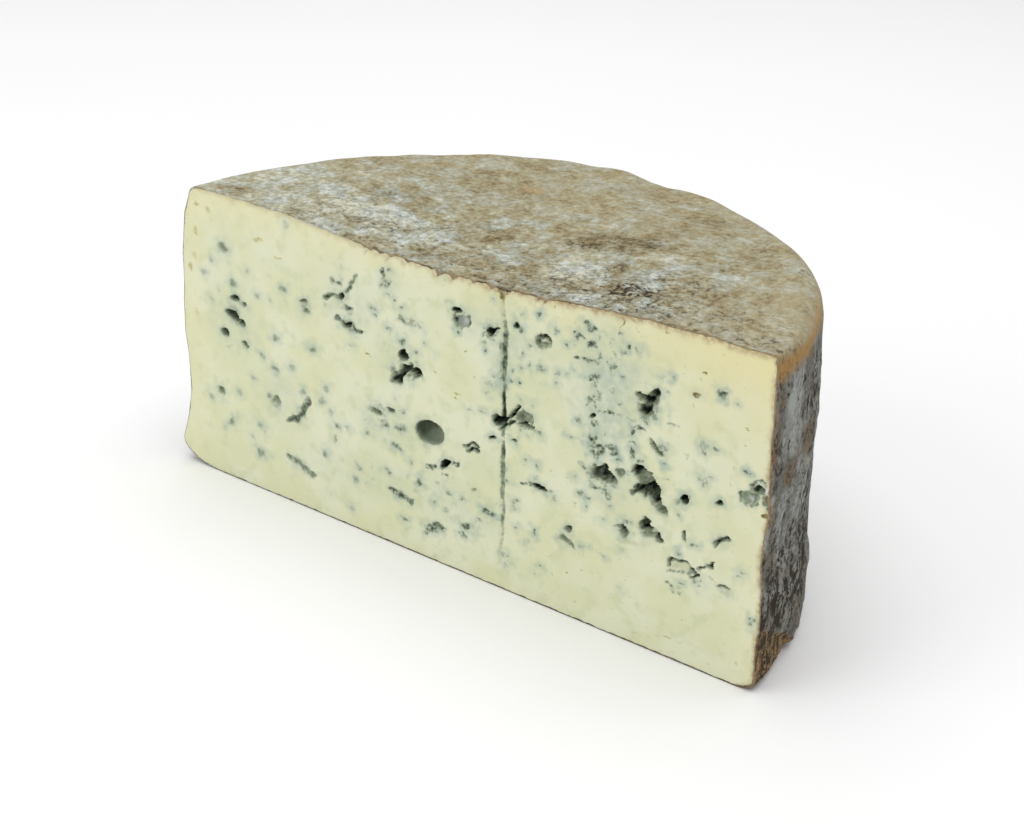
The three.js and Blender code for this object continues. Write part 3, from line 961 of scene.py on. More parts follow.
CRACKS = (
    Crack(1.5, 3.0, 1.0, 0, ((61.6, 75.0), (63.2, 74.8), (65.0, 74.0))),
    Crack(1.3, 3.0, 1.0, 0, ((63.4, 70.4), (64.2, 71.8), (65.2, 73.2))),
    Crack(1.5, 3.0, 1.0, 0, ((61.8, 53.0), (62.8, 54.0), (64.6, 54.3), (67.2, 53.9))),
    Crack(1.5, 4.0, 1.0, 0, ((61.6, 46.3), (64.0, 47.4), (66.4, 49.2))),
    Crack(1.4, 3.0, 1.0, 0, ((66.7, 49.8), (67.8, 47.6), (69.2, 45.6))),
    Crack(1.7, 3.0, 1.0, 0, ((49.8, 50.0), (51.6, 50.0), (53.3, 50.6))),
    Crack(1.0, 3.0, 1.0, 0, ((52.6, 49.2), (53.8, 48.0), (55.2, 46.6))),
    Crack(0.9, 3.0, 1.0, 0, ((65.6, 36.8), (67.2, 37.2), (69.2, 38.0))),
    Crack(1.1, 2.0, 0.95, 0, ((66.6, 40.2), (68.6, 39.8))),
    Crack(1.6, 2.4, 0.88, 0, ((71.0, 35.8), (72.2, 34.7))),
    Crack(0.9, 2.0, 1.0, 0, ((59.8, 34.9), (60.0, 33.6))),
    Crack(0.7, 1.0, 0.6, 0, ((57.6, 35.2), (59.2, 34.6), (60.8, 33.0), (61.9, 31.6))),
    Crack(1.0, 2.4, 0.98, 0, ((66.6, 63.0), (68.2, 61.9), (69.8, 60.5))),
    Crack(1.3, 2.0, 0.9, 0.5, ((88.5, 39.6), (88.9, 40.8), (89.5, 42.0), (90.6, 42.6), (92.0, 43.4))),
    Crack(0.9, 2.4, 1.0, 0, ((75.4, 28.6), (75.6, 30.6), (77.6, 31.2), (79.2, 31.1))),
    Crack(1.0, 2.4, 1.0, 0, ((79.6, 31.3), (81.6, 30.6), (83.4, 29.6), (84.5, 28.6), (82.8, 27.8))),
    Crack(0.6, 1.2, 0.5, 0.25, ((75.4, 26.5), (78.6, 27.6), (82.6, 28.9))),
    Crack(0.8, 1.5, 0.8, 0, ((84.6, 31.0), (86.4, 32.8), (88.0, 33.6))),
    Crack(0.7, 1.5, 0.85, 0, ((91.3, 28.0), (92.6, 28.5), (93.8, 28.1))),
    Crack(0.5, 0.6, 0.32, 0, ((91.2, 26.4), (94.6, 26.5), (94.8, 27.8))),
    Crack(1.0, 1.2, 0.78, 0, ((94.6, 56.0), (94.6, 57.2), (95.6, 58.4), (97.2, 58.4), (98.4, 57.4))),
    Crack(1.0, 1.2, 0.76, 0, ((94.8, 55.8), (96.4, 54.9), (98.2, 55.6))),
    Crack(1.5, 1.0, 0.6, 0, ((97.2, 60.2), (98.2, 61.6), (99.6, 62.2))),
    Crack(1.2, 1.2, 0.78, 0, ((99.8, 59.2), (100.2, 57.2), (101.0, 55.8), (102.8, 55.4))),
    Crack(0.9, 1.2, 0.88, 0, ((79.4, 37.9), (79.5, 39.2), (79.0, 40.4))),
    Crack(0.8, 0.8, 0.5, 0, ((81.9, 37.9), (83.4, 37.5))),
    Crack(0.6, 0.6, 0.4, 0, ((70.2, 69.3), (72.0, 70.0), (74.0, 70.1))),
    Crack(0.6, 0.5, 0.4, 0, ((70.0, 53.0), (72.5, 53.8))),
    Crack(0.6, 0.6, 0.52, 0, ((74.4, 23.0), (75.8, 22.6), (77.6, 22.0))),
    Crack(0.6, 0.6, 0.5, 0, ((77.4, 21.2), (78.9, 20.8), (80.4, 20.9))),
    Crack(0.6, 0.6, 0.5, 0, ((78.8, 22.8), (80.8, 22.0))),
    Crack(0.5, 0.4, 0.42, 0, ((87.5, 30.0), (90.2, 29.6))),
    Crack(0.8, 1.0, 0.7, 0, ((60.6, 65.3), (62.0, 66.1), (64.0, 65.9))),
    Crack(0.7, 0.8, 0.6, 0, ((49.6, 67.0), (52.2, 67.5), (54.0, 67.2))),
    Crack(0.7, 0.8, 0.6, 0, ((55.2, 67.2), (57.2, 67.1))),
    Crack(0.9, 1.0, 0.7, 0, ((41.6, 80.3), (45.0, 80.5), (48.6, 80.2))),
    Crack(0.8, 0.8, 0.6, 0, ((51.6, 80.8), (54.4, 81.4))),
    Crack(0.9, 0.8, 0.6, 0, ((40.6, 86.0), (42.0, 86.9), (43.2, 86.2))),
    Crack(1.1, 1.0, 0.72, 0, ((44.9, 84.8), (47.0, 84.9))),
    Crack(0.9, 0.8, 0.62, 0, ((43.4, 90.2), (44.8, 91.1), (46.8, 90.4))),
    Crack(0.8, 0.8, 0.66, 0, ((48.8, 43.2), (51.2, 44.6))),
    Crack(0.7, 0.6, 0.5, 0, ((44.6, 49.8), (48.2, 48.8))),
    Crack(0.8, 0.6, 0.55, 0, ((45.8, 40.2), (49.0, 40.1))),
    Crack(1.1, 2.4, 1.0, 0, ((16.0, 54.3), (18.0, 54.9), (20.6, 54.8))),
    Crack(1.1, 2.4, 0.98, 0, ((19.6, 53.9), (18.4, 51.0))),
    Crack(1.2, 3.0, 1.0, 0, ((21.4, 55.6), (22.2, 57.4), (23.5, 59.4))),
    Crack(1.0, 3.0, 1.0, 0, ((20.4, 53.2), (22.4, 54.8), (25.4, 55.1), (29.6, 55.0))),
    Crack(0.8, 1.5, 0.9, 0, ((28.0, 55.4), (28.8, 57.2), (28.4, 58.8))),
    Crack(0.8, 1.0, 0.7, 0, ((11.6, 78.2), (10.6, 76.8))),
    Crack(0.8, 1.0, 0.8, 0, ((14.4, 80.3), (16.0, 80.8))),
    Crack(1.0, 2.0, 0.92, 0, ((28.4, 80.6), (28.9, 82.7), (31.0, 83.3), (33.0, 82.3), (33.1, 81.3))),
    Crack(0.7, 0.8, 0.7, 0, ((29.2, 79.8), (31.2, 79.9))),
    Crack(1.0, 1.5, 0.85, 0, ((0.2, 81.0), (0.6, 79.4))),
    Crack(1.0, 1.5, 0.85, 0, ((5.4, 81.4), (5.7, 79.2))),
    Crack(0.9, 1.5, 0.86, 0, ((6.2, 41.4), (8.4, 42.6), (10.2, 42.9))),
    Crack(0.9, 1.5, 0.82, 0, ((7.0, 40.1), (9.2, 41.2), (10.8, 41.3))),
    Crack(0.8, 1.0, 0.74, 0, ((26.2, 37.0), (28.8, 37.6))),
    Crack(0.7, 0.8, 0.6, 0, ((34.0, 37.8), (36.6, 37.4))),
    Crack(1.1, 1.0, 0.7, 0, ((-7.4, 30.4), (-4.6, 31.5))),
    Crack(1.0, 1.0, 0.7, 0, ((1.4, 34.2), (4.4, 34.9))),
    Crack(1.0, 1.0, 0.66, 0, ((-1.6, 29.5), (0.8, 29.7))),
    Crack(
        3.3, 3.6, 1.0, 0,
        ((-11.8, 58.8), (-13.2, 59.5), (-15.4, 59.2), (-17.2, 57.8), (-18.8, 55.8), (-20.4, 54.8)),
    ),
    Crack(2.2, 3.4, 1.0, 0, ((-15.4, 59.5), (-12.0, 59.7))),
    Crack(1.3, 1.5, 0.74, 0, ((-25.3, 87.6), (-25.1, 85.6))),
    Crack(1.0, 1.0, 0.6, 0, ((-25.8, 82.6), (-22.4, 84.4))),
    Crack(0.9, 0.8, 0.5, 0.5, ((-18.6, 74.6), (-16.0, 73.6), (-13.0, 74.8), (-11.8, 73.2))),
    Crack(1.3, 1.6, 0.8, 0, ((-47.4, 73.4), (-45.4, 74.2), (-42.0, 74.8))),
    Crack(0.9, 1.0, 0.7, 0, ((-39.6, 76.6), (-38.2, 78.6), (-36.6, 80.6), (-34.6, 83.0))),
    Crack(1.2, 1.2, 0.72, 0, ((-39.6, 72.2), (-36.6, 72.4))),
    Crack(1.1, 1.2, 0.66, 0.2, ((-44.4, 79.5), (-41.6, 79.1))),
    Crack(1.6, 1.6, 0.76, 0, ((-42.6, 67.9), (-39.0, 67.0), (-35.6, 66.4), (-33.0, 65.9))),
    Crack(2.0, 1.2, 0.76, 0, ((-61.6, 28.2), (-58.6, 29.6), (-56.0, 32.6), (-54.2, 35.2), (-53.4, 37.6))),
    Crack(2.2, 1.0, 0.66, 0.1, ((-21.0, 17.9), (-17.4, 17.9), (-12.8, 16.4))),
    Crack(2.2, 1.0, 0.6, 0, ((-61.0, 15.2), (-57.0, 14.4), (-52.0, 12.6))),
    Crack(2.2, 0.8, 0.62, 0, ((-6.8, 10.4), (-4.4, 11.9), (-0.4, 11.4))),
    Crack(0.9, 0.8, 0.1, 0.8, ((15.0, 94.4), (16.2, 92.2), (16.4, 90.6))),
    Crack(0.5, 0.3, 0.0, 0.62, ((33.2, 96.0), (33.6, 92.4))),
    Crack(0.45, 0.3, 0.0, 0.55, ((35.6, 96.0), (36.4, 93.0), (36.0, 91.2))),
    Crack(0.6, 0.3, 0.0, 0.62, ((54.6, 97.0), (55.0, 93.6), (54.4, 91.6))),
    Crack(0.5, 0.3, 0.0, 0.58, ((57.6, 97.0), (58.4, 94.2), (59.8, 92.8))),
    Crack(0.5, 0.3, 0.0, 0.5, ((22.0, 96.0), (22.8, 93.0))),
    Crack(0.4, 0.2, 0.0, 0.4, ((66.0, 97.0), (67.6, 95.6), (70.0, 95.4))),
    Crack(0.4, 0.2, 0.0, 0.36, ((66.0, 2.8), (70.0, 4.0), (76.6, 5.4))),
    Crack(0.4, 0.2, 0.0, 0.34, ((75.6, 6.8), (79.4, 6.3))),
)

# Thin mould on the cut's surface: x, z, width, height, turn, mould
STAINS = (
    (-9.6, 24.0, 2.4, 5.0, -10, 0.64), (-4.0, 20.0, 3.4, 2.4, 0, 0.42), (6.0, 24.0, 3.4, 2.4, 0, 0.36),
    (-17.0, 17.4, 9.0, 3.0, -8, 0.5), (-3.4, 11.2, 7.0, 3.6, -6, 0.44), (7.7, 15.6, 4.6, 2.4, 0, 0.62),
    (6.7, 12.5, 4.4, 2.2, 0, 0.4), (15.4, 23.4, 5.8, 2.8, -8, 0.66), (0.4, 19.0, 3.0, 1.8, 0, 0.3),
    (64.5, 73.0, 11, 9, 30, 0.42), (64.0, 69.0, 3, 1.6, 0, 0.6), (67.0, 71.0, 2.4, 2, 0, 0.5),
    (48.5, 47.0, 3, 5, 0, 0.4), (53.0, 44.6, 5, 3.6, 0, 0.34), (60.6, 52.0, 3, 3, 0, 0.4),
    (63.4, 56.2, 2, 1.6, 30, 0.5), (56.5, 46.0, 4, 2, 20, 0.4), (70.2, 62.0, 4, 3.4, 0, 0.4),
    (61.0, 36.6, 3.4, 1.8, 10, 0.45), (60.4, 33.4, 5, 4.4, 0, 0.38), (68.6, 36.4, 9, 5, 10, 0.3),
    (71.0, 82.8, 1.1, 1.3, 0, 0.7), (71.0, 57.5, 1.1, 1.1, 0, 0.66), (77.0, 45.0, 1.4, 0.9, 0, 0.4),
    (67.5, 82.5, 3.4, 1.8, 0, 0.26), (82.0, 67.3, 2.6, 2.4, 20, 0.48), (82.4, 65.6, 1.6, 2, 0, 0.42),
    (85.5, 67.0, 3, 1.2, 10, 0.34), (95.2, 64.0, 1.6, 1.1, 0, 0.72), (82.6, 57.5, 5, 4, 0, 0.28),
    (85.0, 58.9, 2.4, 0.8, 0, 0.35), (87.2, 52.2, 1.6, 1.4, 0, 0.5), (89.0, 41.6, 4, 3, 45, 0.28),
    (78.3, 33.6, 1.3, 1, 0, 0.6), (82.6, 37.7, 2, 1.2, 0, 0.5), (79.6, 24.5, 2.4, 0.8, 0, 0.5),
    (84.4, 27.2, 3, 3.2, -30, 0.34), (85.2, 25.6, 1.6, 1, 0, 0.34), (96.0, 33.0, 2.4, 1.4, 0, 0.32),
    (97.0, 34.7, 1.6, 0.7, 0, 0.36), (102.0, 22.0, 2.6, 2.4, 0, 0.55), (101.8, 20.0, 1.6, 1.4, 0, 0.6),
    (93.0, 27.4, 3.6, 2, 0, 0.18), (79.8, 80.8, 2.2, 1.4, 0, 0.2), (90.3, 82.0, 1.2, 0.8, 0, 0.3),
    (85.4, 83.4, 2.4, 2.6, 50, 0.32), (78.6, 50.6, 4, 3, 20, 0.3), (76.0, 48.2, 3, 1.6, 30, 0.34),
    (99.4, 60.6, 3.4, 3, 0, 0.35), (44.8, 89.4, 4.4, 3.4, 0, 0.5), (45.0, 88.5, 1.6, 1.4, 0, 0.6),
    (46.0, 84.8, 3, 2, 0, 0.5), (55.0, 90.7, 3, 1, 0, 0.42), (57.0, 88.0, 2.8, 1.7, 0, 0.72),
    (56.0, 85.7, 2.2, 1.4, 0, 0.55), (60.5, 88.0, 3.2, 3.2, 0, 0.48), (49.0, 82.5, 2, 3, 0, 0.42),
    (41.6, 86.3, 3, 2.4, 0, 0.5), (53.5, 81.0, 3, 1, 10, 0.55), (56.7, 78.2, 1.4, 1.2, 0, 0.66),
    (47.5, 75.8, 5.6, 3, 10, 0.58), (46.0, 75.0, 4, 1.4, 0, 0.6), (48.0, 73.5, 2, 1, 0, 0.5),
    (49.5, 71.8, 2.4, 0.8, 0, 0.55), (53.5, 73.8, 2.2, 1.8, 40, 0.48), (56.5, 71.0, 1.6, 1.2, 0, 0.5),
    (46.3, 69.0, 1.8, 2.2, 0, 0.46), (49.0, 62.8, 3, 5, 0, 0.5), (48.4, 57.4, 4.6, 5, 0, 0.74),
    (51.0, 56.0, 5, 4, 10, 0.66), (55.0, 57.2, 4.4, 4, 0, 0.62), (57.0, 54.6, 3.4, 1.4, 0, 0.7),
    (49.6, 53.6, 4.4, 2, 0, 0.66), (60.6, 64.4, 2.2, 2.4, 0, 0.66), (61.2, 61.2, 3, 1, 0, 0.5),
    (61.2, 58.2, 3.2, 4.4, 0, 0.56), (64.0, 56.4, 2, 1, 20, 0.5), (44.0, 62.0, 2.4, 2.2, 0, 0.5),
    (41.3, 56.0, 1.8, 1.3, 0, 0.66), (49.4, 44.8, 3, 2.4, 0, 0.46), (54.0, 43.5, 4.6, 4, 0, 0.42),
    (47.0, 40.0, 3.4, 1.4, 0, 0.42), (47.4, 38.0, 1.6, 2, 0, 0.42), (43.5, 45.0, 2.4, 1.2, 0, 0.4),
    (55.4, 40.4, 1.4, 1, 0, 0.4), (48.2, 24.4, 3, 1.6, 0, 0.42), (55.0, 24.0, 2.6, 1, 0, 0.36),
    (60.0, 27.6, 2.4, 1.2, 0, 0.34), (41.0, 24.6, 4, 3, -20, 0.4),
    (18.2, 74.5, 2.8, 18, 0, 0.62), (18.5, 64.6, 2.2, 5, 0, 0.66), (18.7, 66.8, 1.5, 1.5, 0, 0.98),
    (28.0, 58.6, 1.6, 1.2, 0, 0.7), (13.3, 79.6, 6.6, 6.4, 0, 0.4), (15.0, 82.5, 2, 1.6, 0, 0.46),
    (22.5, 83.5, 3.6, 4, 0, 0.44), (29.2, 89.2, 1.8, 1.3, 0, 0.62), (35.0, 86.7, 1.6, 1.3, 0, 0.4),
    (23.7, 87.7, 1.4, 1, 0, 0.4), (24.0, 76.3, 1.7, 1.1, 0, 0.7), (38.0, 83.0, 1.8, 1, 0, 0.5),
    (26.5, 79.0, 1.2, 1, 0, 0.5), (30.5, 73.3, 3, 2.4, 0, 0.48), (27.0, 73.2, 1.6, 1, 0, 0.46),
    (11.2, 73.5, 1.1, 1.1, 0, 0.66), (41.3, 76.5, 1.1, 1, 0, 0.66), (39.3, 74.0, 1.4, 1, 0, 0.4),
    (35.7, 74.0, 1.2, 1, 0, 0.4), (35.8, 70.9, 1.2, 1, 0, 0.4), (24.0, 71.5, 1.6, 1, 0, 0.4),
    (23.5, 67.2, 1.7, 1.1, 0, 0.64), (20.7, 67.0, 1.4, 1, 0, 0.46), (21.5, 70.5, 1.2, 1.2, 0, 0.44),
    (13.5, 63.7, 3, 1.6, 0, 0.42), (15.5, 66.5, 1.6, 1.1, 0, 0.42), (25.0, 62.0, 2, 1, 0, 0.4),
    (28.0, 61.8, 1.6, 1.1, 0, 0.4), (31.3, 44.0, 1.8, 2.2, 0, 0.5), (28.0, 44.5, 1.6, 1.1, 0, 0.4),
    (12.0, 54.4, 3, 1, 10, 0.4), (31.0, 54.0, 4, 2, 0, 0.34), (12.2, 19.6, 2.6, 1.6, 0, 0.32),
    (23.5, 28.8, 1.6, 1.2, 0, 0.42), (31.7, 22.5, 1.6, 3.2, 0, 0.46), (25.0, 22.0, 1.6, 1.2, 0, 0.36),
    (1.2, 24.5, 3, 2, 0, 0.4), (24.4, 30.2, 3.0, 1.6, 0, 0.36), (22.0, 35.8, 4, 1, 0, 0.34),
    (1.7, 76.3, 1.2, 1.2, 0, 0.7), (2.6, 80.6, 7, 6.4, 0, 0.3),
    (-22.6, 88.2, 1.6, 1.4, 0, 0.5), (-24.0, 84.0, 5, 4, 25, 0.36), (-23.3, 80.8, 1.8, 1.4, 0, 0.5),
    (-20.5, 79.2, 1.6, 1.2, 0, 0.5), (-17.5, 78.0, 1.6, 1.2, 0, 0.46), (-27.5, 73.0, 2, 1.2, 0, 0.46),
    (-28.5, 75.0, 3, 1.2, 0, 0.5), (-15.0, 74.0, 8, 3, 0, 0.32), (-38.0, 66.8, 9.4, 3.6, -10, 0.56),
    (-40.8, 75.4, 6, 5, 0, 0.36), (-18.0, 67.5, 3.4, 2.4, 0, 0.6), (-17.4, 62.6, 5.4, 5.6, 0, 0.46),
    (-21.0, 58.0, 4, 4, 0, 0.4), (-22.5, 70.3, 1.8, 1.4, 0, 0.5), (-12.0, 66.0, 2.6, 1, 0, 0.42),
    (-14.4, 57.8, 9, 5, 30, 0.34), (-52.0, 55.0, 3.2, 1.8, 0, 0.55), (-54.6, 68.0, 5, 5, 0, 0.4),
    (-24.0, 39.0, 6.4, 3.4, 0, 0.5), (-17.0, 39.5, 5.4, 3.4, 0, 0.46), (-19.0, 33.3, 6.4, 3.4, 0, 0.48),
    (-30.0, 34.2, 2.2, 1.8, 0, 0.5), (-41.5, 33.0, 3.4, 2.2, 0, 0.5), (-38.0, 33.5, 2, 1.4, 0, 0.46),
    (-26.0, 43.4, 9, 4, 0, 0.36), (-22.0, 23.5, 3.4, 2.2, 0, 0.46), (-14.5, 9.5, 2.9, 1.8, 0, 0.4),
    (-7.0, 9.0, 2.6, 1.8, 0, 0.36), (-35.5, 6.0, 3, 2, 0, 0.34), (-33.0, 21.0, 2.2, 2.2, 0, 0.44),
    (-34.5, 17.0, 3.2, 2.4, 0, 0.42), (-46.0, 21.5, 3.2, 4, 0, 0.44), (-57.0, 14.5, 6, 3.4, 0, 0.4),
    (-57.0, 31.0, 5, 6, 45, 0.34), (-55.6, 39.0, 2, 2.4, 0, 0.46), (-48.0, 39.0, 2.4, 3.2, 0, 0.4),
    (-84.0, 57.6, 9, 8, 0, 0.42), (-82.0, 62.6, 6, 4, 0, 0.4), (-84.0, 68.0, 2.8, 2.6, 0, 0.62),
    (-87.5, 78.3, 5, 4.6, 0, 0.4), (-95.8, 68.3, 2.4, 1.8, 0, 0.36), (-92.0, 73.5, 2, 1.6, 0, 0.36),
    (-95.0, 26.5, 2.4, 2.2, 0, 0.42), (-69.5, 33.8, 2.4, 1.8, 0, 0.46), (-66.4, 32.5, 5, 6, 0, 0.38),
    (-73.0, 13.0, 4.4, 3.2, 0, 0.66), (-86.0, 19.5, 4.6, 2.4, 40, 0.54), (-66.3, 54.5, 2.6, 2.2, 0, 0.5),
    (-72.3, 46.8, 2.8, 2.4, 0, 0.54), (-66.7, 43.8, 2.8, 2.4, 0, 0.54), (-63.3, 71.0, 3.2, 1.9, 0, 0.55),
    (-73.0, 22.0, 5.4, 4, 0, 0.32), (-82.0, 31.0, 2.6, 2, 0, 0.36), (-74.0, 66.0, 2.4, 1.6, 0, 0.36),
    (-93.0, 60.0, 2.6, 2, 0, 0.34), (-76.0, 38.0, 3, 1.8, 0, 0.36), (-60.0, 47.0, 2.2, 1.6, 0, 0.4),
)

# Olive, yellow and brown stains: x, z, width, height, turn, ochre
OCHRES = (
    (79.0, 81.0, 2.6, 2.0, 0, 0.72), (80.2, 88.0, 1.6, 1.1, 0, 0.66), (79.0, 85.4, 1.1, 1.1, 0, 0.55),
    (74.4, 85.2, 1.6, 1.0, 0, 0.35), (93.8, 71.6, 1.3, 1.2, 0, 0.55), (94.2, 76.2, 1.3, 1.1, 0, 0.55),
    (91.2, 64.0, 1.2, 2.6, 0, 0.45), (88.4, 50.8, 2.4, 0.8, 15, 0.4), (102.0, 53.0, 3.0, 2.0, 10, 0.85),
    (4.2, 71.0, 1.2, 1.2, 0, 0.6), (3.0, 57.3, 4.4, 1.2, 0, 0.5), (2.0, 55.0, 2.4, 1.2, 0, 0.5),
    (-5.0, 62.0, 2.2, 1.4, 0, 0.5), (-30.0, 59.3, 3.2, 1.2, 0, 0.55), (48.5, 16.5, 1.4, 1.1, 0, 0.36),
    (43.0, 14.0, 1.2, 1.2, 0, 0.36), (47.0, 5.2, 1.6, 1.1, 0, 0.36), (41.0, 2.5, 1.6, 1.0, 0, 0.4),
    (81.0, 13.5, 1.2, 1.0, 0, 0.36), (65.5, 14.5, 1.4, 1.0, 0, 0.3), (62.5, 18.7, 1.4, 1.0, 0, 0.3),
    (98.0, 6.7, 1.6, 1.2, 0, 0.36), (-99.0, 81.0, 3, 4, 0, 0.36), (-101.5, 68.7, 2.4, 4, 0, 0.4),
    (-100.0, 73.0, 3, 3, 0, 0.34), (-100.0, 54.0, 3, 4, 0, 0.32), (-65.0, 80.5, 4.4, 1.8, 0, 0.34),
    (-73.0, 84.8, 6, 2, 0, 0.34), (-94.0, 89.0, 4, 2.4, 0, 0.36), (-98.0, 90.0, 3, 2.4, 0, 0.36),
    (-14.0, 75.0, 5, 2.6, 0, 0.3), (-46.0, 21.5, 2.4, 3, 0, 0.3), (-73.0, 13.0, 3, 2, 0, 0.6),
    (-86.0, 19.5, 3.4, 2.0, 40, 0.5), (-87.5, 78.3, 3.6, 2.4, -30, 0.42), (-17.0, 17.6, 6.0, 2.0, -8, 0.3),
    (9.7, 29.0, 2.6, 2.0, 0, 0.4), (16.2, 92.4, 3.4, 4, 0, 0.4),
)

# Pale mould fluff: x, z, width, height, turn, share
FLUFFS = (
    (2.9, 79.3, 4.0, 2.8, 0, 0.85), (96.8, 56.6, 2.2, 1.8, 10, 0.7), (101.8, 60.2, 4.0, 1.8, 0, 0.9),
    (101.9, 57.0, 1.8, 1.5, 0, 0.7),
    (31.0, 81.6, 2.6, 1.4, 0, 0.3), (59.4, 77.0, 2.4, 1.2, 0, 0.25),
)

MARBLINGS = (
    Marbling(51.5, 73.0, 26, 46, 0, 0.6, 0.6),
    Marbling(51.0, 57.0, 15, 11, 0, 0.5, 0.95),
    Marbling(54.0, 45.0, 20, 14, 0, 0.35, 0.35),
    Marbling(18.0, 78.0, 18, 26, 0, 0.4, 0.35),
    Marbling(30.0, 76.0, 20, 24, 0, 0.2, 0.25),
    Marbling(24.0, 57.0, 18, 12, 0, 0.3, 0.4),
    Marbling(-22.0, 39.0, 30, 16, 0, 0.4, 0.5),
    Marbling(-20.0, 62.0, 20, 22, 0, 0.25, 0.35),
    Marbling(-38.0, 73.0, 24, 20, 0, 0.3, 0.4),
    Marbling(-23.0, 84.0, 12, 14, 0, 0.3, 0.4),
    Marbling(-84.0, 56.0, 22, 34, 0, 0.3, 0.5),
    Marbling(-66.0, 35.0, 26, 26, 0, 0.2, 0.35),
    Marbling(-30.0, 20.0, 60, 18, 0, 0.2, 0.3),
    Marbling(4.0, 22.0, 40, 20, 0, 0.3, 0.3),
    Marbling(60.0, 36.0, 14, 14, 0, 0.15, 0.3),
    Marbling(10.0, 38.0, 40, 18, 0, 0.1, 0.25),
    Marbling(6.0, 80.0, 14, 12, 0, 0.3, 0.3),
    Marbling(80.0, 25.0, 14, 10, 0, 0.1, 0.3),
)

# The needle's channel, from the top rind down: x, z, half width, mould and ochre
CHANNEL = (
    (16.2, 95.6, 0.9, 0.1, 0.85),
    (16.6, 91.5, 0.6, 0.1, 0.7),
    (17.0, 87.0, 0.4, 0.1, 0.35),
    (17.6, 84.0, 0.8, 0.5, 0.1),
    (18.2, 80.0, 0.9, 0.55, 0.0),
    (18.3, 72.0, 1.0, 0.62, 0.0),
    (18.4, 66.0, 0.7, 0.46, 0.0),
    (18.9, 60.0, 0.6, 0.8, 0.0),
    (19.2, 55.0, 0.7, 0.82, 0.0),
    (19.3, 51.0, 0.6, 0.5, 0.1),
    (19.6, 40.0, 0.75, 0.46, 0.26),
    (20.1, 25.0, 0.7, 0.42, 0.28),
    (20.3, 18.0, 0.6, 0.28, 0.28),
    (20.4, 7.0, 0.5, 0.08, 0.22),
)


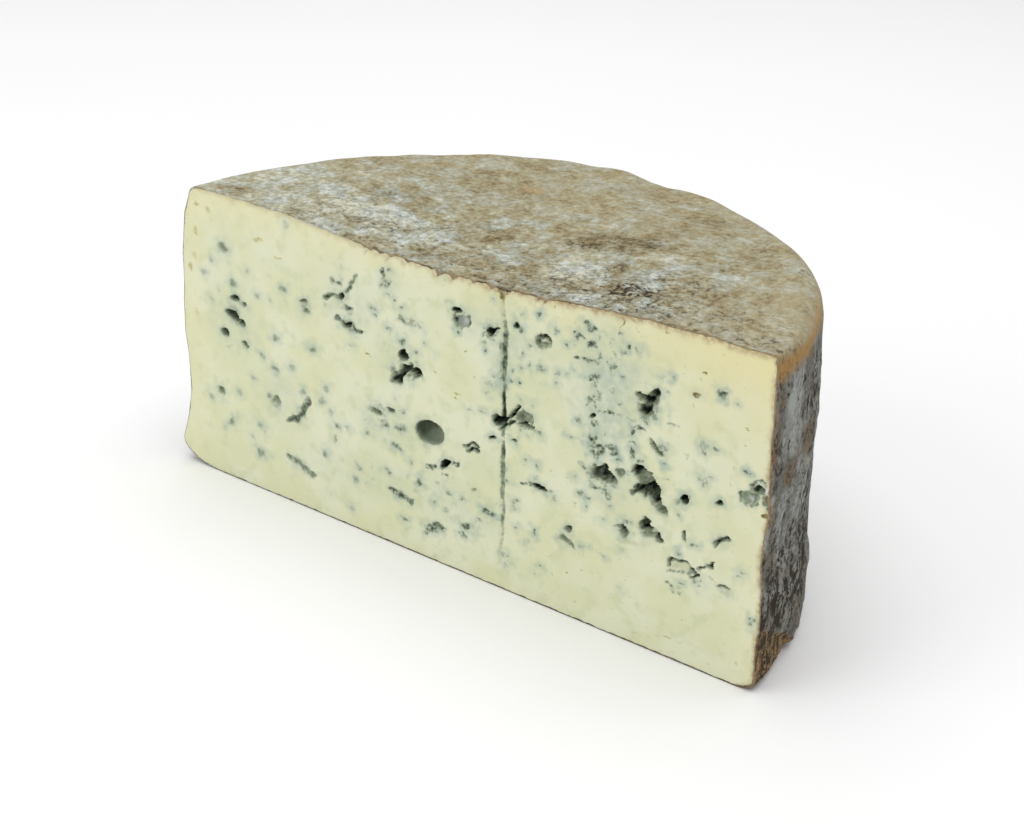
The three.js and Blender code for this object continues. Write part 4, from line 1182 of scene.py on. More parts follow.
@dataclass
class CutFace:
    """The numbers of the cut at each vertex of its grid, and the ways to press marks into them."""

    x: Array
    z: Array
    wall_mm: float = 1.1
    ragged_mm: tuple[float, float] = (0.75, 0.28)
    ragged_size_mm: tuple[float, float] = (2.3, 1.05)
    clump_mm: float = 1.3
    facet_mm: float = 2.0
    black: float = 0.8
    depth: Array = field(init=False)
    mould: Array = field(init=False)
    marble: Array = field(init=False)
    ochre: Array = field(init=False)
    tint: Array = field(init=False)
    fluff: Array = field(init=False)
    calm: Array = field(init=False)

    def __post_init__(self) -> None:
        """Starts with clean paste, and works out how far every edge wanders."""
        self.depth, self.mould, self.marble, self.ochre, self.tint, self.fluff = np.zeros(
            (6, *self.x.shape)
        )
        self.calm = 0.65 * eased((10.0 - self.x) / 80.0)
        self.softness = 1.0 + 0.8 * eased((5.0 - self.x) / 60.0)
        self.faded = 1.0 - 0.2 * eased((5.0 - self.x) / 70.0)
        shifts = []
        for seed in (0.0, 50.0):
            parts = [
                height * lumps(self.x / size + seed, seed, self.z / size)
                for height, size in zip(self.ragged_mm, self.ragged_size_mm)
            ]
            shifts.append(sum(parts))
        self.ragged_x, self.ragged_z = self.x + shifts[0], self.z + shifts[1]
        self.clumps = 0.5 + 0.5 * lumps(self.x / self.clump_mm, 3.0, self.z / self.clump_mm)
        facet = lumps(self.ragged_x / self.facet_mm, 13.0, self.ragged_z / self.facet_mm)
        self.facets = eased(0.5 + facet / 0.5)

    def near(self, x: float, z: float, reach: float) -> tuple[Array, Array, Array]:
        """The grid places within reach of a point, and their ragged x and z from it."""
        at = np.nonzero((np.abs(self.x - x) < reach) & (np.abs(self.z - z) < reach))
        return at, self.ragged_x[at] - x, self.ragged_z[at] - z

    def press(self, hollow: Hollow) -> None:
        """Hollows the paste: a steep wall of a set width round a bowl that is broken into facets,
        the deep ones with the most mould. Under the upper left edge it is darker still: painted shade
        under the pocket's roof, put in as extra mould."""
        size = max(hollow.wide, hollow.high)
        at, dx, dz = self.near(hollow.x, hollow.z, size * 0.5 + 2.0)
        dx = lerp(self.x[at] - hollow.x, dx, hollow.rough)
        dz = lerp(self.z[at] - hollow.z, dz, hollow.rough)
        q = oval(dx, dz, hollow.wide, hollow.high, hollow.turn)
        inside = (1.0 - q) * min(hollow.wide, hollow.high) / 2.0
        bowl = np.sqrt(np.clip(1.0 - q * q, 0.0, 1.0))
        deep = hollow.deep * (0.5 * eased(inside / self.wall_mm) + 0.5 * bowl)
        faceted = 1.0 - lerp(0.25, 1.0, eased((hollow.mould - 0.4) / 0.4)) * (1.0 - self.facets[at])
        faceted = lerp(0.7, faceted, hollow.rough)
        deep = deep * (0.5 + 0.6 * faceted)
        self.depth[at] = np.maximum(self.depth[at], np.where(inside > 0.0, deep, 0.0))
        # Painted shade: the mould is raised under the upper left edge, where the pocket's roof shades it
        under = np.clip(0.5 + (1.5 * dz - 0.9 * dx) / size, 0.0, 1.0)
        floor = lerp(0.44 + 0.42 * faceted, 0.9, 0.7 * eased((hollow.mould - 0.85) / 0.1))
        thick = floor + 0.4 * under + 0.2 * (self.clumps[at] - 0.5)
        grown = hollow.mould * eased(inside / (0.7 * self.softness[at]) + 0.5) * thick * self.faded[at]
        self.mould[at] = np.maximum(self.mould[at], grown)
        calm = (1.0 - hollow.rough) * eased(inside / 0.7 + 0.5)
        self.calm[at] = np.maximum(self.calm[at], calm)
        self.halo(hollow.x, hollow.z, hollow.wide, hollow.high, hollow.turn, 0.6 * hollow.mould)

    def split(self, crack: Crack) -> None:
        """Opens a split: a groove whose depth falls off with distance from its line, and whose width
        and mould wander along it. Only a black one holds mould, and a weaker one is marbled."""
        strong = crack.mould >= self.black
        for (x0, z0), (x1, z1) in zip(crack.line, crack.line[1:]):
            length = math.hypot(x1 - x0, z1 - z0)
            at, dx, dz = self.near((x0 + x1) / 2.0, (z0 + z1) / 2.0, length / 2.0 + crack.wide + 1.5)
            ux, uz = (x1 - x0) / length, (z1 - z0) / length
            along = np.clip(dx * ux + dz * uz, -length / 2.0, length / 2.0)
            away = np.hypot(dx - along * ux, dz - along * uz)
            wide = crack.wide * (0.3 + 1.05 * self.clumps[at])
            share = eased((wide / 2.0 - away) / (0.6 * self.softness[at]) + 0.5)
            near = eased((wide / 2.0 - away) / (1.2 * self.softness[at]) + 0.7)
            deep = crack.deep * share * eased(1.2 - away / crack.wide) * (1.0 if strong else 0.4)
            self.depth[at] = np.maximum(self.depth[at], deep)
            if strong:
                grown = crack.mould * share * (0.75 + 0.35 * self.facets[at]) * self.faded[at]
                self.mould[at] = np.maximum(self.mould[at], grown)
            self.marble[at] = np.maximum(self.marble[at], min(1.3 * crack.mould, 1.0) * near)
            self.ochre[at] = np.maximum(self.ochre[at], crack.ochre * share)

    def stain(self, layer: Array, row: Sequence[float], broken: float) -> None:
        """Colours an oval, broken into clumps towards its edge.

        Args:
            layer: the numbers to raise.
            row: x, z, width, height, turn and strength.
            broken: how far clumps eat into the oval, from 0 to 1.
        """
        x, z, wide, high, turn, strength = row
        at, dx, dz = self.near(x, z, max(wide, high) * 0.7 + 1.5)
        q = oval(dx, dz, wide, high, turn)
        soft = self.softness[at]
        share = eased((1.2 - q - broken * (1.0 - self.clumps[at])) / (0.6 * soft) + 0.3 * (soft - 1.0))
        layer[at] = np.maximum(layer[at], strength * share)

    def smudge(self, row: Sequence[float]) -> None:
        """Marbles an oval: flecks by its strength, in a soft tint that reaches a little further."""
        x, z, wide, high, turn, strength = row
        more = 0.7 + 0.6 * eased((5.0 - x) / 60.0)
        self.stain(self.marble, (x, z, wide + more, high + more, turn, 0.25 + 0.85 * strength), 0.35)
        self.stain(self.tint, (x, z, wide * 1.25 + 1.3, high * 1.25 + 1.3, turn, 1.1 * strength), 0.3)
        self.halo(x, z, wide, high, turn, 0.8 * strength)

    def halo(self, x: float, z: float, wide: float, high: float, turn: float, strength: float) -> None:
        """Tints a soft wide oval round a mark."""
        self.stain(self.tint, (x, z, wide * 1.4 + 4.2, high * 1.4 + 4.2, turn, strength), 0.5)

    def spread(self, zone: Marbling) -> None:
        """Spreads a tint and thin flecked veins through a part of the paste.

        A vein lies where slow noise crosses zero, and only where a second noise is high.
        """
        q = oval(self.x - zone.x, self.z - zone.z, zone.wide, zone.high, zone.turn)
        share = eased((1.25 - q) / 0.9)
        cloud = 0.5 + 0.5 * lumps(self.x / 6.0, 21.0, self.z / 6.0)
        self.tint = np.maximum(self.tint, 0.8 * zone.tint * share * (0.5 + 0.7 * cloud))
        line = np.abs(lumps(self.ragged_x / 3.6, 33.0 + zone.x, self.ragged_z / 3.0))
        patchy = eased((lumps(self.x / 4.4, 45.0 + zone.z, self.z / 3.8) - 0.02) / 0.4)
        vein = zone.veins * eased((0.2 - line) / 0.18) * patchy * share
        self.marble = np.maximum(self.marble, np.maximum(1.1 * vein, 0.3 * zone.tint * share))

    def needle(self, rows: Sequence[Sequence[float]], deep: float) -> None:
        """Draws the needle's channel as a half round groove along a line that wanders slightly."""
        knots = np.array(rows)[::-1]
        line, half, mould, ochre = (np.interp(self.z, knots[:, 1], knots[:, k]) for k in (0, 2, 3, 4))
        wander = 0.2 * lumps(5.0, 9.0, self.z / 6.0)
        away = np.abs(self.x + 0.25 * (self.ragged_x - self.x) - line - wander)
        within = (self.z < knots[-1, 1]) & (self.z > knots[0, 1])
        share = eased((half * (0.85 + 0.3 * self.clumps) - away) / 0.7 + 0.5) * within
        mottled = 0.55 + 0.8 * self.clumps
        black = eased((mould - self.black) / 0.1)
        self.mould = np.maximum(self.mould, mould * share * (0.7 + 0.6 * self.clumps))
        self.marble = np.maximum(self.marble, 1.35 * mould * share * mottled)
        self.ochre = np.maximum(self.ochre, ochre * share)
        groove = np.sqrt(np.clip(1.0 - (away / (half + 0.2)) ** 2, 0.0, 1.0))
        self.depth = np.maximum(self.depth, deep * groove * within * lerp(0.4, 1.0, black))

    def scatter(self, count: int, seed: int) -> None:
        """Adds small seeded specks, most of them in the middle and the left of the cut."""
        draw = np.random.default_rng(seed)
        for x, z, size, strength in zip(
            draw.normal(-5.0, 48.0, count), draw.uniform(5.0, 92.0, count),
            draw.uniform(0.8, 2.2, count), draw.uniform(0.1, 0.4, count),
        ):
            if abs(x) < 96.0 and not (x > 74.0 and z > 55.0):
                self.smudge((x, z, size * 1.3, size, draw.uniform(-30.0, 30.0), strength))


# The two pieces


@dataclass
class Rind:
    """The rind: a dry wrinkled skin over top, wall and base, whose edge shows round the cut."""

    wheel: Wheel
    finish: RindFinish = field(default_factory=RindFinish)
    columns: int = 362
    rows: Rows = Rows(106, 10, 100, 12, 12)
    core_columns: int = 74
    core_rows: Rows = Rows(20, 3, 20, 4, 3)
    edge_top: float = 0.5
    edge_right: float = 0.5
    edge_left: float = 0.35
    edge_base: float = 0.42
    edge_least: float = 0.06
    edge_spread: float = 0.6
    crag_mm: float = 3.0
    shell: float = 2.2
    core_back: float = 1.2
    core_squeeze: float = 0.985
    crumple: float = 1.2
    flake_size: float = 4.2
    flake_height: float = 0.55
    crimp_size: float = 2.4
    crimp_height: float = 0.3
    wall_lump_size: float = 7.0
    wall_lump_height: float = 0.45
    streak_size: float = 2.4
    streak_height: float = 0.5

    def edge(self, outline: Outline) -> Array:
        """How thick the rind shows in the cut: by where the outline faces, plus uneven noise, and
        with ragged crags along the middle of the top edge."""
        x, z = outline.point.T
        out, up = outline.outward.T
        grey = self.edge_left * eased((z - 55.0) / 6.0)
        even = self.edge_top * np.maximum(up, 0.0)
        even = even + self.edge_right * np.maximum(out, 0.0) + grey * np.maximum(-out, 0.0)
        # The base's edge is widened to carry a dark line that is partly rind seen edge on and partly painted
        # contact shadow
        even = even + self.edge_base * np.maximum(-up, 0.0)
        uneven = 0.5 * lumps(x / 2.4, 11.0, z / 2.4) + 0.5 * lumps(x / 1.1, 12.0, z / 1.1)
        crags = np.maximum(up, 0.0) * eased((x + 36.0) / 10.0) * eased((62.0 - x) / 20.0)
        jagged = 0.6 * lumps(x / 2.3, 15.0, 0.5) + 0.6 * lumps(x / 1.1, 16.0, 0.5)
        crags = self.crag_mm * crags * np.maximum(jagged, 0.0) ** 1.5
        return np.maximum(self.edge_least, even * (1.0 + self.edge_spread * uneven) + crags)

    def weather(self, skin: Skin) -> tuple[Array, Array]:
        """Fine relief of the skin.

        Two sizes of folded noise, |n| to a power, are read at places that a third noise has moved,
        so that flakes lie between sharp creases. They are strongest on the top beside the cut and
        weak over the rim. The wall adds lumps and streaks stretched downwards, strongest low down
        beside the scar.

        Args:
            skin: the places.

        Returns:
            Height to add along the normal, in millimetres, and the creases from 0 to 1.
        """
        x, y, z = np.moveaxis(skin.point, -1, 0)
        below = self.wheel.below(x, y, z)
        moved = [
            axis + self.crumple * lumps(x / 4.1 + seed, y / 4.1, below / 4.1)
            for axis, seed in ((x, 0.0), (y, 31.0), (below, 57.0))
        ]
        big = np.abs(lumps(*(axis / self.flake_size for axis in moved))) ** 0.8
        small = np.abs(lumps(*(axis / self.crimp_size + 9.0 for axis in moved)))
        beside_cut = eased((38.0 - y) / 30.0) * eased((x + 75.0) / 45.0)
        strength = lerp(0.4, 1.15, beside_cut)
        over_rim = eased((np.hypot(x, y) - 84.0) / 9.0) * eased((y - 8.0) / 12.0)
        strength = strength * lerp(1.0, 0.35, over_rim)
        low = eased((38.0 - z) / 10.0) * eased((z - 10.0) / 5.0)
        strength = lerp(strength, lerp(0.65, 1.4, low), skin.wall * eased((90.0 - z) / 12.0))
        height = self.flake_height * (big - 0.4) + self.crimp_height * (small - 0.35)
        creases = np.maximum(1.0 - eased(big / 0.32), 0.8 * (1.0 - eased(small / 0.24)))
        size, streak = self.wall_lump_size, self.streak_size
        lump = self.wall_lump_height * lumps(x / size, y / size + 4.0, below / size)
        run = np.abs(lumps(moved[0] / streak, moved[1] / streak, z / (3.0 * streak)))
        lump = lump + self.streak_height * (run - 0.4)
        return height * strength + skin.wall * lump * eased((88.0 - z) / 14.0), creases * strength

    def tone(self, skin: Skin) -> dict[str, Array]:
        """Where the rind is blooming, dark, orange, walled or scarred, from 0 to 1.

        Each listed patch adds its share inside a soft oval on the top or on the unrolled wall.
        """
        x, y, z = np.moveaxis(skin.point, -1, 0)
        radius = np.hypot(x, y - self.wheel.cut_in_front)
        degrees = np.degrees(skin.angle)
        drift = lumps(x / 15.0 + 3.0, y / 15.0, z / 15.0)
        quick = lumps(x / 5.0 + 3.0, y / 5.0, z / 5.0)
        bloom = 0.76 - 0.04 * eased((radius - 70.0) / 25.0) * eased((x + 30.0) / 60.0)
        bloom = bloom - 0.12 * eased((y - 30.0) / 40.0) + 0.12 * drift + 0.12 * quick
        bloom = bloom + 0.3 * eased((-20.0 - x) / 40.0) * eased((60.0 - y) / 30.0)
        bloom = bloom + patches(x + 2.0 * quick, y + 2.0 * drift, TOP_PATCHES)
        veil = np.maximum(0.3 * eased((y - 28.0) / 40.0), 0.42 * eased((x - 56.0) / 30.0))
        veil = np.clip(veil * (1.0 + 0.4 * quick), 0.0, 1.0)
        dark = 0.08 + 0.42 * eased((38.0 - y) / 24.0) * eased((x + 85.0) / 50.0)
        dark = dark * lerp(1.0, 0.4, eased((x - 52.0) / 20.0))
        dark = dark + patches(x + quick, y, TOP_DARKS)
        wall_bloom = 0.54 + 0.1 * drift + 0.1 * quick - 0.08 * eased((45.0 - z) / 40.0)
        wall_bloom = wall_bloom + patches(degrees + quick, z + 3.0 * drift, WALL_PATCHES)
        wall_dark = 0.4 + 0.2 * quick + patches(degrees, z, WALL_DARKS)
        edge = self.wheel.height - z
        deep = lerp(6.8, 5.4, eased(degrees / 30.0)) + 1.2 * drift
        start = lerp(2.5, 1.0, eased(degrees / 14.0))
        band = eased((edge + start) / 6.0) * eased((deep - edge) / 6.0 + 0.5)
        orange = band * lerp(1.0, 0.3, eased((degrees - 12.0) / 40.0))
        beside = (1.0 - eased((y - 0.4) / 2.4)) * eased((z - 42.0) / 10.0) * eased((x - 50.0) / 10.0)
        orange = np.maximum(orange, 0.5 * beside * (1.0 + 0.6 * quick))
        wall = (skin.zone > Zone.TOP.value) * eased((edge - deep + 3.0) / 3.0)
        scar = eased(self.wheel.scar(z, skin.angle) / 0.7)
        return {
            "bloom": lerp(bloom, wall_bloom, wall),
            "veil": veil,
            "dark": lerp(dark, wall_dark, wall) * (1.0 - band),
            "orange": np.where(
                skin.zone > Zone.TOP.value, orange, patches(x + quick, y, TOP_ORANGES)
            ),
            "wall": wall,
            "scar": scar,
        }

    def build(self, shift: Array) -> bpy.types.Object:
        """The closed piece: outer skin, the edge in the cut, and a coarse inner wall.

        Args:
            shift: what is added to every place, in millimetres.

        Returns:
            The rind.
        """
        share, way = np.linspace(0.0, 1.0, self.columns + 1), self.rows.way()
        skin = self.wheel.skin(share, way)
        height, creases = self.weather(skin)
        foot = lerp(0.3, 1.0, eased(skin.point[..., 2] / 3.0))
        beside_cut = lerp(1.0, lerp(0.5, 1.0, eased(skin.point[..., 1] / 2.0)), skin.wall)
        raised = np.where(
            skin.zone == Zone.BOTTOM.value, -0.5 * np.abs(height), height * foot * beside_cut
        )
        outer = skin.point + skin.normal * raised[..., None]
        outer[..., 2] = np.maximum(outer[..., 2], 0.0)
        shell = Shell()
        # high lightens the raised places: partly bloom, partly a painted highlight on them
        high = np.clip(0.5 + height, 0.0, 1.0)
        ids, loop = skin_numbers(self.columns + 1, way, 0)
        tone = self.tone(skin)
        dark = tone.pop("dark")
        # The creases darken the colour: partly the rind's own dark crevices, partly painted shade in them
        shell.add(outer, crease=0.5 * creases + dark, line=creases * dark, high=high, **tone)
        shell.faces.append(grid_faces(ids, True))
        line = outline_of(self.wheel, share, self.rows.side())
        thick = self.edge(line)
        along = line.point[:, 0]
        crusted = eased((along + 45.0) / 20.0)
        black = np.maximum(line.outward[:, 1], 0.0) * eased((along + 38.0) / 12.0)
        black = black * eased((52.0 - along) / 25.0) * eased(0.5 + 1.6 * lumps(along / 3.2, 19.0, 0.5))
        # Along the base the strip is near black: partly the rind seen edge on, partly painted contact shadow
        # under the cut's bottom edge
        black = black + 0.8 * np.maximum(-line.outward[:, 1], 0.0)
        strip = {"bloom": lerp(1.3, 0.6, crusted), "edge": 0.85 * crusted}
        for depth, y in ((0.5 * thick, -0.12), (thick, 0.1), (thick + 0.8, 0.9)):
            after = shell.add(line.inset(depth, y), line=black, high=0.3, **strip)
            shell.faces.append(ring_faces(loop, after))
            loop = after
        core_share, core_way = np.linspace(0.0, 1.0, self.core_columns + 1), self.core_rows.way()
        core = self.wheel.skin(core_share, core_way)
        inner = core.point - core.normal * self.shell
        inner[..., 1] = self.core_back + self.core_squeeze * inner[..., 1]
        ids, core_loop = skin_numbers(self.core_columns + 1, core_way, shell.count)
        shell.add(inner, edge=1.0)
        shell.faces.append(grid_faces(ids, False))
        core_line = outline_of(self.wheel, core_share, self.core_rows.side())
        shell.faces.append(zip_faces(loop, core_loop, line.at, core_line.at))
        piece = shell.piece("rind", shift)
        piece.data.materials.append(self.finish.material())
        return piece


@dataclass
class Paste:
    """The paste: everything inside the rind, with the cut as its front."""

    wheel: Wheel
    rind: Rind
    finish: PasteFinish = field(default_factory=PasteFinish)
    columns: int = 424
    rows: Rows = Rows(1, 10, 186, 13, 1)
    crowding: float = 0.1
    core_columns: int = 60
    core_rows: Rows = Rows(16, 3, 16, 4, 3)
    core_inset: float = 2.6
    edge_back: float = 0.6
    fringe_top: float = 3.0
    fringe_right: float = 2.0
    knife_size: float = 22.0
    knife_height: float = 0.22
    channel_depth: float = 1.2
    specks: int = 80
    seed: int = 11

    def columns_at(self) -> Array:
        """Shares of the columns: even along x, and closer together towards the right end."""
        t = np.linspace(0.0, 1.0, self.columns + 1)
        bent = t + self.crowding * t * (t - 1.0)
        share = self.wheel.share_at(self.wheel.top_radius * (1.0 - 2.0 * bent))
        share[0], share[-1] = 0.0, 1.0
        return share

    def patch(self, edge: Array, rows: int) -> tuple[Array, Array]:
        """Fills an outline with a grid: each point adds the blend of top and bottom edge and the
        blend of left and right edge, and takes off the blend of the four corners.

        Args:
            edge: x and z along the outline.
            rows: how many rows there are, with the top and bottom edge.

        Returns:
            x and z of the grid.
        """
        columns, inner = self.columns + 1, rows - 2
        top, left = edge[:columns], edge[columns : columns + inner]
        bottom = edge[columns + inner : 2 * columns + inner][::-1]
        right = edge[2 * columns + inner :][::-1]
        left = np.concatenate([top[-1:], left, bottom[-1:]])[:, None]
        right = np.concatenate([top[:1], right, bottom[:1]])[:, None]
        u = np.linspace(0.0, 1.0, columns)[None, :, None]
        v = np.linspace(0.0, 1.0, rows)[:, None, None]
        grid = lerp(top[None], bottom[None], v) + lerp(right, left, u)
        grid = grid - lerp(lerp(top[0], top[-1], u), lerp(bottom[0], bottom[-1], u), v)
        return grid[..., 0], grid[..., 1]

    def face(self, x: Array, z: Array) -> CutFace:
        """Presses everything that the cut shows into its grid."""
        cut = CutFace(x, z)
        for zone in MARBLINGS:
            cut.spread(zone)
        cut.needle(CHANNEL, self.channel_depth)
        for row in STAINS:
            cut.smudge(row)
        for row in OCHRES:
            cut.stain(cut.ochre, row, 0.2)
        cut.scatter(self.specks, self.seed)
        for hollow in HOLLOWS:
            cut.press(hollow)
        for crack in CRACKS:
            cut.split(crack)
        for row in FLUFFS:
            cut.stain(cut.fluff, row, 0.3)
        return cut

    def rust(self, x: Array, z: Array) -> Array:
        """How brown the paste is by the rind: it fades out below the top edge, where clumps thin it
        towards the left, and over less beside the right edge."""
        under, beside = z[0] - z, x[:, :1] - x
        uneven = 0.5 + 0.5 * lumps(x / 2.6, 17.0, z / 2.6)
        top = (1.0 - eased(under / (self.fringe_top * (0.5 + uneven)))) ** 2
        top = top * lerp(0.5, 1.0, eased((x + 20.0) / 60.0))
        right = 0.8 * (1.0 - eased(beside / (self.fringe_right * (0.5 + uneven)))) ** 2
        return np.maximum(top, right)

    def butter(self, x: Array, z: Array) -> Array:
        """How yellow the paste is: near the rind, and most at the top right."""
        side = eased((np.abs(x) - 90.0) / 14.0)
        top = eased((z - 82.0) / 13.0)
        corner = eased((x - 50.0) / 45.0) * eased((z - 58.0) / 34.0)
        return np.clip(0.25 * side + 0.4 * top + 0.5 * corner, 0.0, 1.0)

    def build(self, shift: Array) -> bpy.types.Object:
        """The closed piece: the cut, its edge, and a coarse back inside the rind.

        Args:
            shift: what is added to every place, in millimetres.

        Returns:
            The paste.
        """
        share, side = self.columns_at(), self.rows.side()
        line = outline_of(self.wheel, share, side)
        thick = self.rind.edge(line)
        edge = line.inset(thick, 0.0)[:, [0, 2]]
        rows = len(side) + 2
        x, z = self.patch(edge, rows)
        cut = self.face(x, z)
        u = np.linspace(0.0, 1.0, self.columns + 1)[None]
        v = np.linspace(0.0, 1.0, rows)[:, None]
        inside = np.minimum(np.minimum(u, 1.0 - u), np.minimum(v, 1.0 - v))
        knife = self.knife_height * lumps(x / self.knife_size, 7.0, z / self.knife_size)
        smear = 0.07 * lumps(x / 5.0, 2.0, z / 3.0)
        y = (knife + smear) * eased(inside * 12.0) + cut.depth * eased(inside * 120.0)
        shell = Shell()
        ids = shell.add(
            np.stack([x, y, z], -1),
            mould=cut.mould, marble=cut.marble, tint=cut.tint, ochre=cut.ochre, fluff=cut.fluff,
            calm=cut.calm, butter=self.butter(x, z), rust=self.rust(x, z),
        )
        shell.faces.append(grid_faces(ids, False))
        behind = shell.add(line.inset(thick, self.edge_back), butter=0.8)
        shell.faces.append(ring_faces(behind, border(ids)))
        core_share, core_way = np.linspace(0.0, 1.0, self.core_columns + 1), self.core_rows.way()
        core = self.wheel.skin(core_share, core_way)
        back = core.point - core.normal * self.core_inset
        back[..., 1] = 1.5 + 0.98 * back[..., 1]
        ids, loop = skin_numbers(self.core_columns + 1, core_way, shell.count)
        shell.add(back, butter=0.5)
        shell.faces.append(grid_faces(ids, True))
        core_line = outline_of(self.wheel, core_share, self.core_rows.side())
        shell.faces.append(zip_faces(behind, loop, line.at, core_line.at)[:, ::-1])
        piece = shell.piece("paste", shift)
        piece.data.materials.append(self.finish.material())
        return piece


# Patches of the rind's top: x, y, width, height, turn, and what they add to the bloom
TOP_PATCHES = (
    (25, 22, 24, 22, 0, 0.52), (10, 48, 16, 12, 0, 0.02), (42, 42, 16, 8, 20, 0.4),
    (50, 24, 16, 14, 0, 0.2), (40, 5, 16, 8, 0, 0.35), (-45, 18, 34, 20, 0, 0.2),
    (-10, 22, 26, 18, 0, 0.05), (24, 45, 26, 14, 0, -0.75),
    (30, 58, 18, 14, 0, -0.3), (37, 74, 16, 20, 0, -0.4),
    (-48, 36, 26, 18, 0, -0.35), (-32, 64, 26, 20, 10, -0.12), (5, 90, 30, 16, 0, -0.15),
    (35, 28, 7, 10, 0, -0.6), (66, 10, 18, 16, 0, 0.1), (90, 36, 14, 30, 0, -0.05),
    (12, 18, 10, 26, 25, -0.1), (-6, 30, 8, 14, -30, -0.4), (-88, 6, 14, 10, 0, -0.5),
    (86, 14, 18, 22, 0, 0.1), (-40, 8, 10, 6, 0, -0.35), (55, 60, 26, 16, -40, -0.1),
    (-15, 8, 14, 8, 0, -0.3), (66, 36, 18, 22, 20, 0.05), (-30, 16, 60, 24, 0, 0.25),
)

# Orange places of the rind's top: x, y, width, height, turn and strength
TOP_ORANGES = ((-20.4, 66.2, 11, 8, 0, 0.5), (12, 84, 14, 8, 0, 0.2), (62, 52, 12, 8, -30, 0.2))

# Dark places of the rind's top: x, y, width, height, turn and strength
TOP_DARKS = (
    (48, 15, 12, 10, 0, 0.8), (30, 8, 22, 10, 0, 0.35), (35, 28, 6, 8, 0, 0.5), (20, 3, 10, 5, 0, 0.6),
    (-18, 2, 12, 4, 0, 0.7), (-15, 25, 7, 5, 0, 0.6), (4, 26, 6, 10, -30, 0.6), (10, 12, 10, 12, 0, 0.2),
    (58, 28, 20, 14, 0, 0.25), (-40, 12, 14, 8, 0, 0.35), (78, 57, 4, 4, 0, 0.8), (18, 38, 16, 5, 0, 0.9),
    (60, 7, 10, 8, 0, 0.15), (16, 37, 4, 6, 0, 0.5), (-52, 33, 10, 10, 0, 0.3),
    (-13, 52, 5, 8, 0, 0.3), (33, 50, 10, 10, 0, 0.5), (-70, 60, 20, 12, 30, 0.25),
    (60, 66, 14, 8, -40, 0.3), (-30, 86, 24, 10, 15, 0.2),
)

# Patches of the wall: degrees, z, width, height, turn, and what they add to the bloom
WALL_PATCHES = (
    (5, 80, 7, 22, 0, 0.2), (10, 50, 10, 20, 0, 0.12), (0, 68, 1.8, 50, 0, -0.22), (12, 84, 6, 14, 0, -0.25),
    (13, 66, 6, 10, 0, -0.2), (4, 62, 6, 8, 0, -0.2), (0, 40, 3, 24, 0, -0.15), (5, 36, 10, 10, 0, -0.05),
    (30, 60, 20, 30, 0, 0.2), (55, 40, 24, 30, 0, -0.25), (80, 65, 26, 30, 0, 0.2),
    (110, 45, 26, 34, 0, -0.25), (135, 70, 24, 26, 0, 0.2), (160, 40, 20, 30, 0, -0.2),
    (172, 75, 16, 20, 0, 0.2), (98, 20, 40, 14, 0, -0.2),
)

# Dark places of the wall: degrees, z, width, height, turn and strength
WALL_DARKS = (
    (12, 78, 3, 5, 0, 0.9), (8, 86, 3, 5, 0, 0.7), (6, 23, 18, 18, 0, 0.5), (3, 36, 6, 8, 0, 0.5),
    (10, 40, 4, 10, 0, 0.3), (16, 34, 7, 44, 0, 0.6), (17, 68, 7, 40, 0, 0.6), (2, 8, 4, 14, 0, 0.8),
    (5, 80, 7, 20, 0, -0.3),
    (60, 30, 30, 20, 0, 0.3), (120, 25, 40, 20, 0, 0.3), (150, 60, 14, 20, 0, 0.3),
    (90, 80, 16, 10, 0, 0.3), (40, 45, 10, 20, 0, 0.3),
)


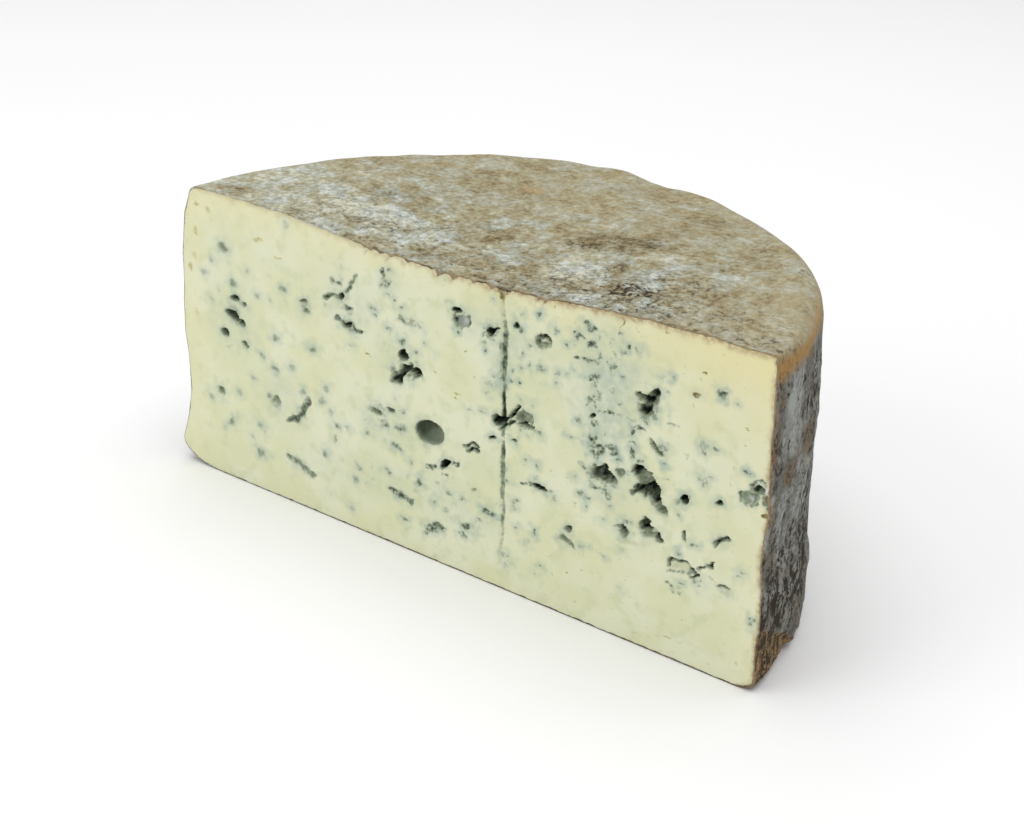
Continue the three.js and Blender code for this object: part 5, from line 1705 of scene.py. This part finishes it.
@dataclass
class Studio:
    """A pale floor, two large soft lights, an even sky and the camera."""

    finish: FloorFinish = field(default_factory=FloorFinish)
    floor_half: float = 3000.0
    azimuth: float = 34.14864
    elevation: float = 25.87298
    roll: float = 3.0
    distance: float = 495.74
    aim_height: float = 50.0
    aside: tuple[float, float] = (18.07, 0.909)
    focal_px: float = 1731.2
    image_px: float = 1024.0
    sensor: float = 36.0
    sky: float = 0.45

    def floor(self) -> bpy.types.Object:
        """A large square sheet at height 0, facing up."""
        half = self.floor_half * MM
        corners = [(-half, -half, 0.0), (half, -half, 0.0), (half, half, 0.0), (-half, half, 0.0)]
        mesh = bpy.data.meshes.new("floor")
        mesh.from_pydata(corners, [], [(0, 1, 2, 3)])
        mesh.materials.append(self.finish.material())
        floor = bpy.data.objects.new("floor", mesh)
        bpy.context.scene.collection.objects.link(floor)
        return floor

    def light(self, name: str, place: Sequence[float], size: float, watts: float) -> None:
        """A square soft light at a place in millimetres, turned to the middle of the cheese."""
        lamp = bpy.data.lights.new(name, "AREA")
        lamp.size = size * MM
        lamp.energy = watts
        holder = bpy.data.objects.new(name, lamp)
        spot = Vector(place) * MM
        holder.matrix_world = Matrix.LocRotScale(
            spot, (Vector((0.0, 0.0, 0.05)) - spot).to_track_quat("-Z", "Y"), None
        )
        bpy.context.scene.collection.objects.link(holder)

    def lights(self) -> None:
        """Large soft light from above and a softer one from the front left, under a white sky."""
        world = bpy.data.worlds.new("studio")
        world.use_nodes = True
        background = world.node_tree.nodes["Background"]
        background.inputs["Color"].default_value = (1.0, 1.0, 1.0, 1.0)
        background.inputs["Strength"].default_value = self.sky
        bpy.context.scene.world = world
        self.light("overhead", (0.0, 150.0, 1500.0), 1800.0, 19.0)
        self.light("front_left", (-600.0, -1000.0, 700.0), 800.0, 4.4)

    def camera(self, shift: Array) -> None:
        """The camera on its bearing and elevation about a point over the cut, with a slight roll."""
        az, el, roll = (math.radians(a) for a in (self.azimuth, self.elevation, self.roll))
        back = Vector((math.sin(az) * math.cos(el), -math.cos(az) * math.cos(el), math.sin(el)))
        right = Vector((math.cos(az), math.sin(az), 0.0))
        up = back.cross(right)
        aim = Vector((0.0, 0.0, self.aim_height)) + Vector(shift)
        spot = aim + back * self.distance + right * self.aside[0] + up * self.aside[1]
        across = right * math.cos(roll) + up * math.sin(roll)
        upright = up * math.cos(roll) - right * math.sin(roll)
        data = bpy.data.cameras.new("camera")
        data.sensor_width = self.sensor
        data.lens = self.focal_px / self.image_px * self.sensor
        camera = bpy.data.objects.new("camera", data)
        turn = Matrix((across, upright, back)).transposed().to_4x4()
        camera.matrix_world = Matrix.Translation(spot * MM) @ turn
        bpy.context.scene.collection.objects.link(camera)
        bpy.context.scene.camera = camera


def shift_to_solid(wheel: Wheel) -> Array:
    """What moves the shapes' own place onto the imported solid's place, in millimetres."""
    rows = Rows(12, 4, 40, 4, 2)
    point = wheel.skin(np.linspace(0.0, 1.0, 181), rows.way()).point
    low, high = (np.array(corner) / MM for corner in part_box(NODE))
    middle = (point[..., 0].min() + point[..., 0].max()) / 2.0
    return np.array([(low[0] + high[0]) / 2.0 - middle, high[1] - point[..., 1].max(), low[2]])


def main() -> None:
    """Builds the rind, the paste and the studio, and reports each piece."""
    logging.basicConfig(level=logging.INFO, format="%(name)s: %(message)s")
    bpy.context.scene.view_settings.view_transform = "Standard"
    wheel = Wheel()
    shift = shift_to_solid(wheel)
    rind = Rind(wheel)
    for maker, slot in ((rind, "rind"), (Paste(wheel, rind), "paste")):
        piece = maker.build(shift)
        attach(piece, BODY)
        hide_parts(NODE)
        LOG.info("%s: %d triangles", piece.name, len(piece.data.polygons))
    studio = Studio()
    studio.floor()
    studio.lights()
    studio.camera(shift)
    LOG.info("studio: floor, lights and camera")


if __name__ == "__main__":
    main()
